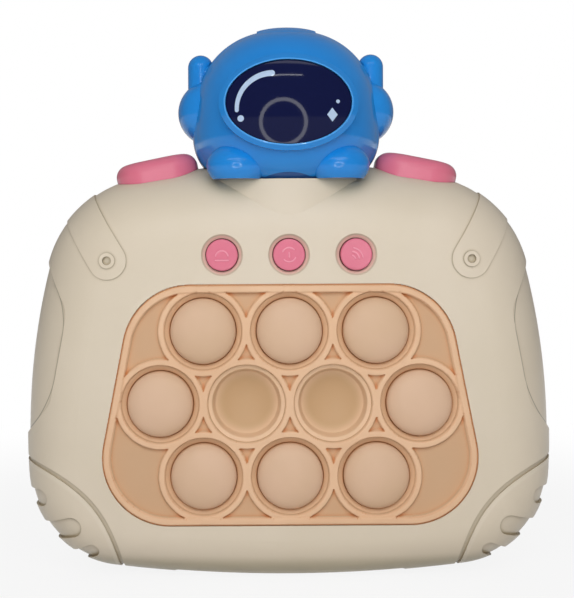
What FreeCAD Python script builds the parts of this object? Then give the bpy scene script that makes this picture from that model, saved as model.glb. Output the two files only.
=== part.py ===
import FreeCAD, Part
import math
import os
import Sketcher

# Electronic bubble pop game: a hand-held console with ten silicone bubbles, three round
# front buttons, two shoulder buttons and a helmet-shaped head on a neck platform.
# X runs to the right, Z up, and the front faces -Y. Z = 0 is the surface it stands on.
# The two body shells meet at the plane Y = 0. "Fore" is a distance in front of that plane.

Vec = FreeCAD.Vector
doc = FreeCAD.newDocument("bubble_pop_game")
sheet = doc.addObject("Spreadsheet::Sheet", "Sizes")


class Size:
    """A dimension that knows both its number and the sheet formula it comes from."""

    def __init__(self, number, formula):
        self.number = float(number)
        self.formula = formula

    def __add__(self, other):
        return Size(self.number + number(other), "(%s + %s)" % (self.formula, formula(other)))

    def __radd__(self, other):
        return Size(number(other) + self.number, "(%s + %s)" % (formula(other), self.formula))

    def __sub__(self, other):
        return Size(self.number - number(other), "(%s - %s)" % (self.formula, formula(other)))

    def __rsub__(self, other):
        return Size(number(other) - self.number, "(%s - %s)" % (formula(other), self.formula))

    def __mul__(self, other):
        return Size(self.number * number(other), "%s * %s" % (self.formula, formula(other)))

    def __rmul__(self, other):
        return self * other

    def __truediv__(self, other):
        return Size(self.number / number(other), "%s / (%s)" % (self.formula, formula(other)))

    def __neg__(self):
        return Size(-self.number, "(-1 * %s)" % self.formula)


def number(value):
    """The plain number of a Size or of a number."""
    return value.number if isinstance(value, Size) else float(value)


def formula(value):
    """The text that a formula uses for a Size or for a number."""
    if isinstance(value, Size):
        return value.formula
    return "(%.6f)" % value if value < 0 else "%.6f" % value


def sine(angle):
    """Sine of an angle in degrees."""
    return Size(math.sin(math.radians(number(angle))), "sin(%s * 1 deg)" % formula(angle))


def cosine(angle):
    """Cosine of an angle in degrees."""
    return Size(math.cos(math.radians(number(angle))), "cos(%s * 1 deg)" % formula(angle))


def root(value):
    """Square root of a Size."""
    return Size(math.sqrt(number(value)), "sqrt(%s)" % formula(value))


def size(alias, value, note):
    """Write one driving dimension into the sheet, on the next free row."""
    size.row += 1
    sheet.set("A%d" % size.row, note)
    sheet.set("B%d" % size.row, str(value))
    sheet.setAlias("B%d" % size.row, alias)
    return Size(value, "Sizes." + alias)


size.row = 0
zero = Size(0.0, "0.0")

# Body outline, seen from the front
body_height = size("body_height", 119.9, "top of the body at its centre")
body_half_width = size("body_half_width", 76.9, "largest half width of the body")
widest_height = size("widest_height", 43.5, "height where the body is widest")
body_half_depth = size("body_half_depth", 21.0, "front face to the parting plane")
top_curve = size("top_curve", 240.0, "radius of the body's top line")
side_curve = size("side_curve", 190.0, "radius of the body's side lines")
shoulder_curve = size("shoulder_curve", 34.0, "radius of the upper corners")
corner_curve = size("corner_curve", 29.5, "radius of the lower corners")
bottom_curve = size("bottom_curve", 410.0, "radius of the body's bottom line")
bottom_belly = size("bottom_belly", 0.5, "how far the uncut bottom line dips below the floor")
top_round = size("top_round", 20.0, "edge rounding along the top")
side_round = size("side_round", 17.0, "edge rounding where the body is widest")
bottom_round = size("bottom_round", 12.0, "edge rounding along the bottom")
wall = size("wall", 2.4, "wall of the two body shells")

# Relief on the shells
strap_rise = size("strap_rise", 0.4, "height of the raised straps")
strap_half_width = size("strap_half_width", 5.4, "half the width of a strap")
strap_end_across = size("strap_end_across", 51.5, "strap rivet, sideways from the centre")
strap_end_height = size("strap_end_height", 91.4, "strap rivet, height")
strap_lean = size("strap_lean", 31.8, "strap direction, degrees from upright")
rivet_outer = size("rivet_outer", 2.2, "outer radius of the rivet ring")
rivet_rise = size("rivet_rise", 0.9, "height of the rivet ring over the face")
rivet_inner = size("rivet_inner", 1.25, "inner radius of the rivet ring")
grip_depth = size("grip_depth", 0.7, "depth of the side grip panels")
tread_depth = size("tread_depth", 0.8, "depth of the corner treads")
tread_places = []
for rank, where in (("upper", (72.0, 23.3, 95.0, 2.6)), ("middle", (62.3, 15.6, 107.0, 3.0)),
                    ("lower", (56.6, 8.6, 118.0, 2.1))):
    x, z, lean, half = where
    tread_places.append((size("tread_%s_x" % rank, x, rank + " corner tread's end, sideways"),
                         size("tread_%s_z" % rank, z, rank + " corner tread's end, height"),
                         size("tread_%s_lean" % rank, lean, rank + " tread, degrees from upright"),
                         size("tread_%s_half" % rank, half, rank + " tread, half width")))
boot_line_depth = size("boot_line_depth", 0.5, "depth of the line around a lower corner")
boot_line_width = size("boot_line_width", 1.2, "width of the line around a lower corner")
boot_line_curve = size("boot_line_curve", 34.3, "radius of the line around a lower corner")
grip_near = size("grip_near", 63.3, "grip panel's inner corner from the centre")
grip_near_height = size("grip_near_height", 77.0, "height of the grip panel's inner corner")
grip_low = size("grip_low", 68.3, "grip panel's lower corner from the centre")
grip_low_height = size("grip_low_height", 50.5, "height of the grip panel's lower corner")
grip_top_height = size("grip_top_height", 113.0, "grip panel's upper line, beyond the side")
grip_foot_height = size("grip_foot_height", 35.0, "grip panel's lower line, beyond the side")
grip_corner = size("grip_corner", 7.5, "corner radius of the grip panels")
boot_line_x = size("boot_line_x", 82.4, "centre of the corner line from the middle")
boot_line_z = size("boot_line_z", 0.4, "height of the corner line's centre")
belly_panel_half_width = size("belly_panel_half_width", 34.0, "half width of the bottom panel")
belly_panel_height = size("belly_panel_height", 2.3, "height of the bottom panel's edge")
belly_panel_depth = size("belly_panel_depth", 0.25, "depth of the bottom panel")

# Neck platform and helmet
platform_half_width = size("platform_half_width", 27.1, "half width of the neck platform")
platform_half_depth = size("platform_half_depth", 20.6, "half depth of the neck platform")
platform_height = size("platform_height", 114.4, "top of the neck platform")
neck_plate = size("neck_plate", 2.4, "thickness of the platform's top")
neck_radius = size("neck_radius", 14.8, "radius of the helmet's neck")
neck_flange_radius = size("neck_flange_radius", 17.0, "radius of the flange inside the body")
neck_flange = size("neck_flange", 1.6, "thickness of the flange inside the body")
head_top = size("head_top", 159.3, "top of the helmet, under its crest")
head_radius = size("head_radius", 27.9, "largest radius of the helmet")
head_middle = size("head_middle", 127.8, "height of the helmet's largest radius")
crown_curve = size("crown_curve", 55.9, "radius of the helmet's crown")
temple_curve = size("temple_curve", 22.5, "radius between crown and cheek")
cheek_curve = size("cheek_curve", 58.4, "radius of the helmet's sides")
jaw_curve = size("jaw_curve", 15.0, "radius below the largest width")
head_wall = size("head_wall", 2.4, "wall of the helmet")
crest_half_width = size("crest_half_width", 8.6, "half width of the crest band")
crest_rise = size("crest_rise", 0.8, "height of the crest band")
crest_fade = size("crest_fade", 6.8, "how far the crest's ball lies above the helmet's own")
visor_half_width = size("visor_half_width", 17.75, "half width of the oval visor")
visor_half_height = size("visor_half_height", 12.05, "half height of the oval visor")
visor_height = size("visor_height", 135.5, "height of the visor's centre")
visor_curve = size("visor_curve", 50.0, "radius of the visor's bulging face")
visor_thickness = size("visor_thickness", 1.6, "thickness of the visor")
visor_rise = size("visor_rise", 0.4, "visor's front, ahead of the helmet's largest radius")
visor_ledge = size("visor_ledge", 1.5, "width of the ledge behind the visor")
bezel_width = size("bezel_width", 1.8, "width of the rim around the visor")
bezel_rise = size("bezel_rise", 1.1, "front of the rim, ahead of the helmet's largest radius")
ear_radius = size("ear_radius", 9.5, "radius of the ear cups")
ear_height = size("ear_height", 135.2, "height of the ear cups' centre")
ear_reach = size("ear_reach", 32.3, "outermost point of the ear cups from the centre")
ear_curve = size("ear_curve", 9.8, "radius of the ear cups' domed face")
stub_radius = size("stub_radius", 3.8, "radius of the antenna stubs")
stub_across = size("stub_across", 25.5, "antenna stubs from the centre")
stub_top = size("stub_top", 152.6, "top of the antenna stubs")
stub_heel = size("stub_heel", 2.3, "heel of a stub, inwards and down from its tip")
hand_across = size("hand_across", 14.7, "hands from the centre")
hand_fore = size("hand_fore", 17.4, "hands in front of the parting plane")
hand_height = size("hand_height", 118.3, "height of the hands' centre")
hand_half_width = size("hand_half_width", 8.6, "half width of a hand")
hand_half_depth = size("hand_half_depth", 7.6, "half depth of a hand")
hand_half_height = size("hand_half_height", 6.4, "half height of a hand")

# Silicone pad and bubbles
pad_top = size("pad_top", 84.3, "top edge of the pad's rim")
pad_bottom = size("pad_bottom", 16.4, "bottom edge of the pad's rim")
pad_top_half = size("pad_top_half", 43.9, "half width of the pad at its top edge")
pad_bottom_half = size("pad_bottom_half", 57.0, "half width of the pad at its bottom edge")
pad_corner = size("pad_corner", 19.0, "corner radius of the pad")
pad_rim = size("pad_rim", 2.1, "width of the pad's rim")
pad_flange = size("pad_flange", 2.6, "width of the flange behind the shell")
pad_sheet = size("pad_sheet", 1.2, "thickness of the silicone sheet")
pad_proud = size("pad_proud", 0.4, "rim and rings, ahead of the shell's face")
bubble_pitch = size("bubble_pitch", 24.5, "sideways pitch of the bubbles")
bubble_row_pitch = size("bubble_row_pitch", 20.6, "height pitch of the bubble rows")
bubble_middle = size("bubble_middle", 50.6, "height of the middle bubble row")
bubble_radius = size("bubble_radius", 9.3, "base radius of a bubble")
bubble_rise = size("bubble_rise", 4.6, "height of a bubble over the sheet")
bubble_wall = size("bubble_wall", 0.9, "wall of a bubble")
ring_inner = size("ring_inner", 10.9, "inner radius of the ring around a bubble")
ring_outer = size("ring_outer", 12.9, "outer radius of the ring around a bubble")
bubble_gap = size("bubble_gap", 0.25, "gap around a bubble's base")

# Key frame, plungers and board
plate = size("plate", 1.5, "thickness of the key frame's plate")
well_radius = size("well_radius", 9.8, "inner radius of the wells behind the bubbles")
well_wall = size("well_wall", 1.2, "wall of the wells")
well_floor = size("well_floor", 1.3, "floor of the wells")
plunger_travel = size("plunger_travel", 1.4, "stroke of a plunger")
plunger_stem = size("plunger_stem", 2.9, "radius of a plunger's stem")
plunger_cap = size("plunger_cap", 4.3, "radius of a plunger's light cap")
plunger_crown = size("plunger_crown", 1.0, "crown height of a light cap")
plunger_edge = size("plunger_edge", 0.5, "edge thickness of a light cap")
guide_wall = size("guide_wall", 1.5, "wall of a plunger's guide")
slide_gap = size("slide_gap", 0.2, "radial gap of the plungers and stems")
light_window = size("light_window", 1.6, "radius of the window over a light")
light_offset = size("light_offset", 6.5, "light, sideways from its bubble")
board_top = size("board_top", 97.5, "top edge of the circuit board")
board_bottom = size("board_bottom", 9.5, "bottom edge of the circuit board")
board_top_half = size("board_top_half", 50.0, "half width of the board at its top")
board_bottom_half = size("board_bottom_half", 62.5, "half width of the board at its bottom")
board_corner = size("board_corner", 8.0, "corner radius of the board")
board_fore = size("board_fore", 5.0, "board's front face from the parting plane")
board_thickness = size("board_thickness", 1.6, "thickness of the board")
dome_switch_radius = size("dome_switch_radius", 2.2, "radius of a bubble's dome switch")
dome_switch_height = size("dome_switch_height", 0.8, "height of a bubble's dome switch")
light_height = size("light_height", 1.2, "height of a light")
light_side = size("light_side", 2.8, "side of a light's square body")
chip_width = size("chip_width", 10.0, "width of the controller chip")
chip_height = size("chip_height", 7.0, "height of the controller chip")
chip_thickness = size("chip_thickness", 1.6, "thickness of the controller chip")
capacitor_radius = size("capacitor_radius", 2.8, "radius of the capacitor")
capacitor_length = size("capacitor_length", 6.0, "length of the capacitor")

# Front and shoulder buttons
front_button_radius = size("front_button_radius", 4.5, "radius of a front button")
front_button_pitch = size("front_button_pitch", 19.0, "pitch of the front buttons")
front_button_height = size("front_button_height", 92.8, "height of the front buttons")
front_button_proud = size("front_button_proud", 0.7, "front buttons, ahead of the face")
front_button_travel = size("front_button_travel", 1.2, "stroke of a front button")
front_button_gap = size("front_button_gap", 0.25, "gap around a front button")
front_button_round = size("front_button_round", 0.55, "edge rounding of a front button")
front_button_dish = size("front_button_dish", 1.2, "width of the bevel around a button")
front_button_flange = size("front_button_flange", 1.1, "width of a front button's flange")
front_button_stem = size("front_button_stem", 2.0, "radius of a front button's stem")
tact_height = size("tact_height", 3.3, "height of a tact switch's body")
tact_side = size("tact_side", 6.0, "side of a tact switch's body")
tact_pin = size("tact_pin", 0.7, "height of a tact switch's own pin")
tact_pin_radius = size("tact_pin_radius", 1.7, "radius of a tact switch's own pin")
end_gap = size("end_gap", 0.1, "gap left at the end of a stroke")
shoulder_across = size("shoulder_across", 38.5, "shoulder buttons from the centre")
shoulder_lean = size("shoulder_lean", 11.5, "lean of the shoulder buttons, degrees")
shoulder_half_length = size("shoulder_half_length", 12.2, "half length of a shoulder button")
shoulder_half_width = size("shoulder_half_width", 10.3, "half width of a shoulder button")
shoulder_corner = size("shoulder_corner", 8.5, "corner radius of a shoulder button")
shoulder_rise = size("shoulder_rise", 4.4, "shoulder button over the body's top")
shoulder_round = size("shoulder_round", 3.6, "edge rounding of a shoulder button")
shoulder_skirt = size("shoulder_skirt", 8.0, "shoulder button below the body's top")
shoulder_travel = size("shoulder_travel", 2.2, "stroke of a shoulder button")
shoulder_gap = size("shoulder_gap", 0.3, "gap around a shoulder button")
shoulder_flange = size("shoulder_flange", 1.2, "width of a shoulder button's flange")
shoulder_stem = size("shoulder_stem", 2.5, "radius of a shoulder button's stem")
shoulder_stem_length = size("shoulder_stem_length", 5.0, "length of a shoulder button's stem")
shelf = size("shelf", 2.0, "thickness of a shoulder switch's shelf")

# Power and sound
cell_radius = size("cell_radius", 7.2, "radius of a battery")
cell_length = size("cell_length", 49.2, "length of a battery without its nub")
cell_nub_radius = size("cell_nub_radius", 2.7, "radius of a battery's nub")
cell_nub = size("cell_nub", 1.3, "length of a battery's nub")
cell_pitch = size("cell_pitch", 16.0, "pitch of the batteries")
cell_middle = size("cell_middle", 44.5, "height of the middle battery")
cell_gap = size("cell_gap", 0.3, "gap between a battery and the bay's floor")
bay_half_length = size("bay_half_length", 29.3, "half length of the battery bay")
bay_half_height = size("bay_half_height", 24.5, "half height of the battery bay")
bay_floor = size("bay_floor", 2.6, "bay's floor behind the parting plane")
bay_wall = size("bay_wall", 1.4, "wall of the battery bay")
door_margin = size("door_margin", 2.5, "ledge between bay and door edge")
door_head = size("door_head", 9.0, "door's reach above the bay, for its screw")
door_thickness = size("door_thickness", 2.6, "thickness of the battery door")
door_gap = size("door_gap", 0.25, "gap around the battery door")
door_corner = size("door_corner", 3.0, "corner radius of the battery door")
contact_reach = size("contact_reach", 5.0, "half side of a contact plate")
contact_thickness = size("contact_thickness", 0.4, "thickness of a contact plate")
spring_wide = size("spring_wide", 4.0, "wide end radius of a battery spring")
spring_narrow = size("spring_narrow", 2.2, "narrow end radius of a battery spring")
spring_wire = size("spring_wire", 0.35, "wire radius of a battery spring")
speaker_height = size("speaker_height", 91.2, "height of the speaker's centre")
speaker_radius = size("speaker_radius", 10.5, "radius of the speaker's frame")
speaker_depth = size("speaker_depth", 5.0, "depth of the speaker")
magnet_radius = size("magnet_radius", 6.0, "radius of the speaker's magnet")
magnet_depth = size("magnet_depth", 2.0, "depth of the speaker's magnet")
cone_depth = size("cone_depth", 1.8, "depth of the speaker's cone")
cap_depth = size("cap_depth", 1.0, "depth of the cap in the cone")
grille_slot = size("grille_slot", 1.4, "width of a slot in the speaker grille")
grille_pitch = size("grille_pitch", 3.4, "pitch of the slots in the speaker grille")

# Screws and their posts
case_high_x = size("case_high_x", 60.0, "upper case screws from the centre")
case_high_z = size("case_high_z", 97.0, "height of the upper case screws")
case_middle_x = size("case_middle_x", 66.0, "middle case screws from the centre")
case_middle_z = size("case_middle_z", 62.0, "height of the middle case screws")
case_low_x = size("case_low_x", 64.0, "lower case screws from the centre")
case_low_z = size("case_low_z", 24.0, "height of the lower case screws")
board_high_x = size("board_high_x", 46.0, "upper board screws from the centre")
board_high_z = size("board_high_z", 92.0, "height of the upper board screws")
board_low_x = size("board_low_x", 54.9, "lower board screws from the centre")
board_low_z = size("board_low_z", 17.2, "height of the lower board screws")
head_screw_x = size("head_screw_x", 19.0, "helmet screws from the centre")
head_screw_z = size("head_screw_z", 124.0, "height of the helmet screws")
screw_shank = size("screw_shank", 1.1, "radius of a screw's shank")
screw_head = size("screw_head", 2.5, "radius of a screw's head")
screw_head_height = size("screw_head_height", 1.7, "height of a screw's head")
pilot_gap = size("pilot_gap", 0.05, "gap between a shank and its pilot hole")
post_wall = size("post_wall", 1.7, "wall of a screw post")
well_mouth = size("well_mouth", 3.0, "radius of a screw well in the rear shell")
well_seat = size("well_seat", 5.0, "screw seat behind the parting plane")
screw_reach = size("screw_reach", 8.0, "screw's reach into its post")
seat_gap = size("seat_gap", 0.3, "gap between the helmet and its seat")

doc.recompute()


def bind(thing, prop, value):
    """Bind one property to the sheet, or set it when it is a plain number."""
    thing.setExpression(prop, formula(value))


def place(thing, x, y, z, axis=None, angle=0.0):
    """Set where a thing stands. The turn about the axis is in degrees."""
    turn = FreeCAD.Rotation(Vec(*(axis or (0, 0, 1))), number(angle))
    thing.Placement = FreeCAD.Placement(Vec(number(x), number(y), number(z)), turn)
    bind(thing, "Placement.Base.x", x)
    bind(thing, "Placement.Base.y", y)
    bind(thing, "Placement.Base.z", z)
    if isinstance(angle, Size):
        bind(thing, "Placement.Rotation.Angle", angle)


def block(name, x, y, z):
    """A box between the low and high values of x, y and z."""
    box = doc.addObject("Part::Box", name)
    for prop, (low, high) in zip(("Length", "Width", "Height"), (x, y, z)):
        setattr(box, prop, number(high) - number(low))
        bind(box, prop, high - low)
    place(box, x[0], y[0], z[0])
    return box


turns = {"x": ((0, 1, 0), 90.0), "y": ((1, 0, 0), -90.0), "z": ((0, 0, 1), 0.0), "front": ((1, 0, 0), 90.0)}


def rod(name, radius, length, x, y, z, along="z"):
    """A cylinder that starts at a point and runs along +x, +y, +z or to the front (-y)."""
    cylinder = doc.addObject("Part::Cylinder", name)
    bind(cylinder, "Radius", radius)
    bind(cylinder, "Height", length)
    axis, angle = turns[along]
    place(cylinder, x, y, z, axis, angle)
    return cylinder


def join(name, things):
    """One solid from several."""
    fuse = doc.addObject("Part::MultiFuse", name)
    fuse.Shapes = things
    fuse.Refine = True
    return fuse


def take(name, base, tools):
    """A base less its tools."""
    cut = doc.addObject("Part::Cut", name)
    cut.Base = base
    cut.Tool = tools[0] if len(tools) == 1 else join(name + "_tools", tools)
    cut.Refine = True
    return cut


def shared(name, things):
    """What all the things have in common."""
    common = doc.addObject("Part::MultiCommon", name)
    common.Shapes = things
    common.Refine = True
    return common


def mirror(name, thing, normal):
    """The mirror image of a thing across the plane through the origin with this normal."""
    image = doc.addObject("Part::Mirroring", name)
    image.Source = thing
    image.Normal = normal
    return image


def gather(name, things):
    """A node of separate solids, such as a set of screws."""
    group = doc.addObject("Part::Compound", name)
    group.Links = things
    return group


def pin(sketch, kind, geometry, position, value):
    """Hold one coordinate of a sketch point at a Size, or on an axis when it is zero."""
    if not isinstance(value, Size) and value == 0:
        axis = -2 if kind == "DistanceX" else -1
        sketch.addConstraint(Sketcher.Constraint("PointOnObject", geometry, position, axis))
        return
    index = sketch.addConstraint(Sketcher.Constraint(kind, -1, 1, geometry, position, number(value)))
    sketch.setExpression("Constraints[%d]" % index, formula(value))


def pin_point(sketch, geometry, position, point):
    """Hold a sketch point at two Sizes."""
    pin(sketch, "DistanceX", geometry, position, point[0])
    pin(sketch, "DistanceY", geometry, position, point[1])


def pin_radius(sketch, geometry, radius):
    """Bind the radius of a circle or an arc."""
    index = sketch.addConstraint(Sketcher.Constraint("Radius", geometry, number(radius)))
    sketch.setExpression("Constraints[%d]" % index, formula(radius))


def arc_between(centre, radius, start, end):
    """An arc that runs anticlockwise from the direction of start to that of end."""
    circle = Part.Circle(Vec(centre[0], centre[1], 0), Vec(0, 0, 1), radius)
    first = math.atan2(start[1] - centre[1], start[0] - centre[0])
    last = math.atan2(end[1] - centre[1], end[0] - centre[0])
    if last <= first:
        last += 2 * math.pi
    return Part.ArcOfCircle(circle, first, last)


def draw_polygon(sketch, corners):
    """A closed outline, listed anticlockwise, with each corner (x, y, radius) rounded."""
    points = [Vec(number(c[0]), number(c[1]), 0) for c in corners]
    count = len(corners)
    cuts = []
    for i in range(count):
        before = (points[i - 1] - points[i]).normalize()
        after = (points[(i + 1) % count] - points[i]).normalize()
        half_angle = before.getAngle(after) / 2
        reach = number(corners[i][2]) / math.tan(half_angle)
        inward = (before + after).normalize() * (number(corners[i][2]) / math.sin(half_angle))
        left_turn = (points[i] - points[i - 1]).cross(points[(i + 1) % count] - points[i]).z > 0
        cuts.append((points[i] + before * reach, points[i] + after * reach, points[i] + inward, left_turn))
    lines = []
    for i in range(count):
        start, end = cuts[i][1], cuts[(i + 1) % count][0]
        lines.append(sketch.addGeometry(Part.LineSegment(start, end), False))
    for i in range(count):
        enter, leave, centre, left_turn = cuts[i]
        if left_turn:
            arc = arc_between(centre, number(corners[i][2]), enter, leave)
        else:
            arc = arc_between(centre, number(corners[i][2]), leave, enter)
        bend = sketch.addGeometry(arc, False)
        first, last = (1, 2) if left_turn else (2, 1)
        sketch.addConstraint(Sketcher.Constraint("Tangent", lines[i - 1], 2, bend, first))
        sketch.addConstraint(Sketcher.Constraint("Tangent", bend, last, lines[i], 1))
        pin_radius(sketch, bend, corners[i][2])
        corner = sketch.addGeometry(Part.Point(points[i]), True)
        pin_point(sketch, corner, 1, corners[i])
        sketch.addConstraint(Sketcher.Constraint("PointOnObject", corner, 1, lines[i - 1]))
        sketch.addConstraint(Sketcher.Constraint("PointOnObject", corner, 1, lines[i]))


def draw_profile(sketch, points):
    """A closed outline through pinned points. A third value is the radius of an arc to the
    next point: positive bends it to the left of the way there, negative to the right."""
    count = len(points)
    flat = [Vec(number(p[0]), number(p[1]), 0) for p in points]
    ends = []
    for i in range(count):
        start, end = flat[i], flat[(i + 1) % count]
        if len(points[i]) == 2:
            ends.append((sketch.addGeometry(Part.LineSegment(start, end), False), 1, 2))
            continue
        radius = number(points[i][2])
        way = end - start
        across = Vec(way.y, -way.x, 0).normalize() * math.copysign(1, radius)
        centre = (start + end) * 0.5 + across * math.sqrt(radius ** 2 - (way.Length / 2) ** 2)
        if radius < 0:
            arc = sketch.addGeometry(arc_between(centre, -radius, start, end), False)
            ends.append((arc, 1, 2))
        else:
            arc = sketch.addGeometry(arc_between(centre, radius, end, start), False)
            ends.append((arc, 2, 1))
        pin_radius(sketch, arc, points[i][2] if radius > 0 else -points[i][2])
    for i in range(count):
        here, before = ends[i], ends[i - 1]
        sketch.addConstraint(Sketcher.Constraint("Coincident", before[0], before[2], here[0], here[1]))
        pin_point(sketch, here[0], here[1], points[i])


def free_sketch(name, fore=None, height=None):
    """A sketch facing the front at a fore distance, or facing up at a height."""
    sketch = doc.addObject("Sketcher::SketchObject", name)
    if height is None:
        place(sketch, 0.0, -fore, 0.0, (1, 0, 0), 90.0)
    else:
        place(sketch, 0.0, 0.0, height)
    return sketch


def raise_sketch(name, sketch, length):
    """A solid that a sketch sweeps along its own normal."""
    solid = doc.addObject("Part::Extrusion", name)
    solid.Base = sketch
    solid.DirMode = "Normal"
    solid.Solid = True
    bind(solid, "LengthFwd", length)
    return solid


def front_prism(name, corners, low, high):
    """A rounded outline seen from the front, between two fore distances."""
    sketch = free_sketch(name + "_outline", fore=low)
    draw_polygon(sketch, corners)
    return raise_sketch(name, sketch, high - low)


def new_body(name):
    """An empty body and its origin planes by role."""
    body = doc.addObject("PartDesign::Body", name)
    planes = {f.Role: f for f in body.Origin.OriginFeatures}
    return body, planes


def body_sketch(body, plane, name, offset=0.0):
    """A sketch on one of a body's own planes, moved along the plane's normal."""
    sketch = body.newObject("Sketcher::SketchObject", name)
    sketch.AttachmentSupport = (plane, [""])
    sketch.MapMode = "FlatFace"
    bind(sketch, "AttachmentOffset.Base.z", offset)
    return sketch


def turned(name, points, x, y, z, along="front"):
    """A body turned about its own Z from a profile of (radius, height) points."""
    body, planes = new_body(name)
    sketch = body_sketch(body, planes["XZ_Plane"], name + "_profile")
    draw_profile(sketch, points)
    spin = body.newObject("PartDesign::Revolution", name + "_turn")
    spin.Profile = sketch
    spin.ReferenceAxis = (sketch, ["V_Axis"])
    spin.Angle = 360.0
    axis, angle = turns[along]
    place(body, x, y, z, axis, angle)
    return body


def circles_meet(first, first_radius, second, second_radius, upper):
    """The upper or lower point where two circles cross."""
    across, up = second[0] - first[0], second[1] - first[1]
    apart = math.hypot(across, up)
    along = (first_radius ** 2 - second_radius ** 2 + apart ** 2) / (2 * apart)
    off = math.sqrt(first_radius ** 2 - along ** 2)
    middle = (first[0] + along * across / apart, first[1] + along * up / apart)
    ends = [(middle[0] - off * up / apart, middle[1] + off * across / apart),
            (middle[0] + off * up / apart, middle[1] - off * across / apart)]
    return max(ends, key=lambda p: p[1]) if upper else min(ends, key=lambda p: p[1])


def reach_from(centre, through, radius):
    """The point at a radius from the centre, in the direction of another point."""
    apart = math.hypot(through[0] - centre[0], through[1] - centre[1])
    share = radius / apart
    return (centre[0] + (through[0] - centre[0]) * share, centre[1] + (through[1] - centre[1]) * share)


def draw_body_outline(sketch, inset):
    """The console's outline: eight tangent arcs, moved inwards by the inset."""
    top = (0.0, number(body_height - top_curve))
    side = (number(body_half_width - side_curve), number(widest_height))
    bottom = (0.0, number(bottom_curve - bottom_belly))
    shoulder = circles_meet(top, number(top_curve - shoulder_curve),
                            side, number(side_curve - shoulder_curve), True)
    corner = circles_meet(bottom, number(bottom_curve - corner_curve),
                          side, number(side_curve - corner_curve), False)
    meets = [reach_from(top, shoulder, number(top_curve - inset)),
             reach_from(side, shoulder, number(side_curve - inset)),
             reach_from(side, corner, number(side_curve - inset)),
             reach_from(bottom, corner, number(bottom_curve - inset))]
    left = [(-p[0], p[1]) for p in meets]
    arcs = [(top, top_curve, meets[0], left[0]),
            ((-shoulder[0], shoulder[1]), shoulder_curve, left[0], left[1]),
            ((-side[0], side[1]), side_curve, left[1], left[2]),
            ((-corner[0], corner[1]), corner_curve, left[2], left[3]),
            (bottom, bottom_curve, left[3], meets[3]),
            (corner, corner_curve, meets[3], meets[2]),
            (side, side_curve, meets[2], meets[1]),
            (shoulder, shoulder_curve, meets[1], meets[0])]
    drawn = []
    for centre, curve, start, end in arcs:
        arc = arc_between(centre, number(curve - inset), start, end)
        drawn.append(sketch.addGeometry(arc, False))
        pin_radius(sketch, drawn[-1], curve - inset)
    for i in range(len(drawn)):
        sketch.addConstraint(Sketcher.Constraint("Tangent", drawn[i - 1], 2, drawn[i], 1))
    pin_point(sketch, drawn[0], 3, (0, body_height - top_curve))
    pin_point(sketch, drawn[2], 3, (side_curve - body_half_width, widest_height))
    pin_point(sketch, drawn[4], 3, (0, bottom_curve - bottom_belly))
    pin_point(sketch, drawn[6], 3, (body_half_width - side_curve, widest_height))


def round_at(height):
    """The edge rounding at a height: it grows from the bottom's over the side's to the top's."""
    if height < number(widest_height):
        share = max(height / number(widest_height), 0.0)
        return number(bottom_round) + share * number(side_round - bottom_round)
    share = min((height - number(widest_height)) / number(body_height - widest_height), 1.0)
    return number(side_round) + share * number(top_round - side_round)


def console_half(name, inset):
    """The front half of the console as a solid, moved inwards all over by the inset."""
    sketch = free_sketch(name + "_outline", fore=0.0)
    draw_body_outline(sketch, inset)
    depth = body_half_depth - inset
    solid = raise_sketch(name + "_block", sketch, depth)
    doc.recompute()
    edges = []
    for i, edge in enumerate(solid.Shape.Edges):
        if abs(edge.CenterOfMass.y + number(depth)) < 1e-6:
            ends = [round_at(v.Point.z) - number(inset) for v in (edge.Vertexes[0], edge.Vertexes[-1])]
            edges.append((i + 1, ends[0], ends[1]))
    rounded = doc.addObject("Part::Fillet", name)
    rounded.Base = solid
    rounded.Edges = edges
    return rounded


def both_sides(name, thing):
    """A thing and its mirror image across the middle."""
    return [thing, mirror(name + "_left", thing, (1, 0, 0))]


def tongue(name, x, z, lean, half_width, reach, length):
    """A bar with a round end at (x, z), leaning from upright, right through the console's front."""
    end = rod(name + "_end", half_width, length, x, 0.0, z, "front")
    bar = doc.addObject("Part::Box", name + "_bar")
    bind(bar, "Length", half_width * 2)
    bind(bar, "Width", length)
    bind(bar, "Height", reach)
    place(bar, x - half_width * cosine(lean), -length, z + half_width * sine(lean), (0, 1, 0), lean)
    return join(name, [end, bar])


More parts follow.
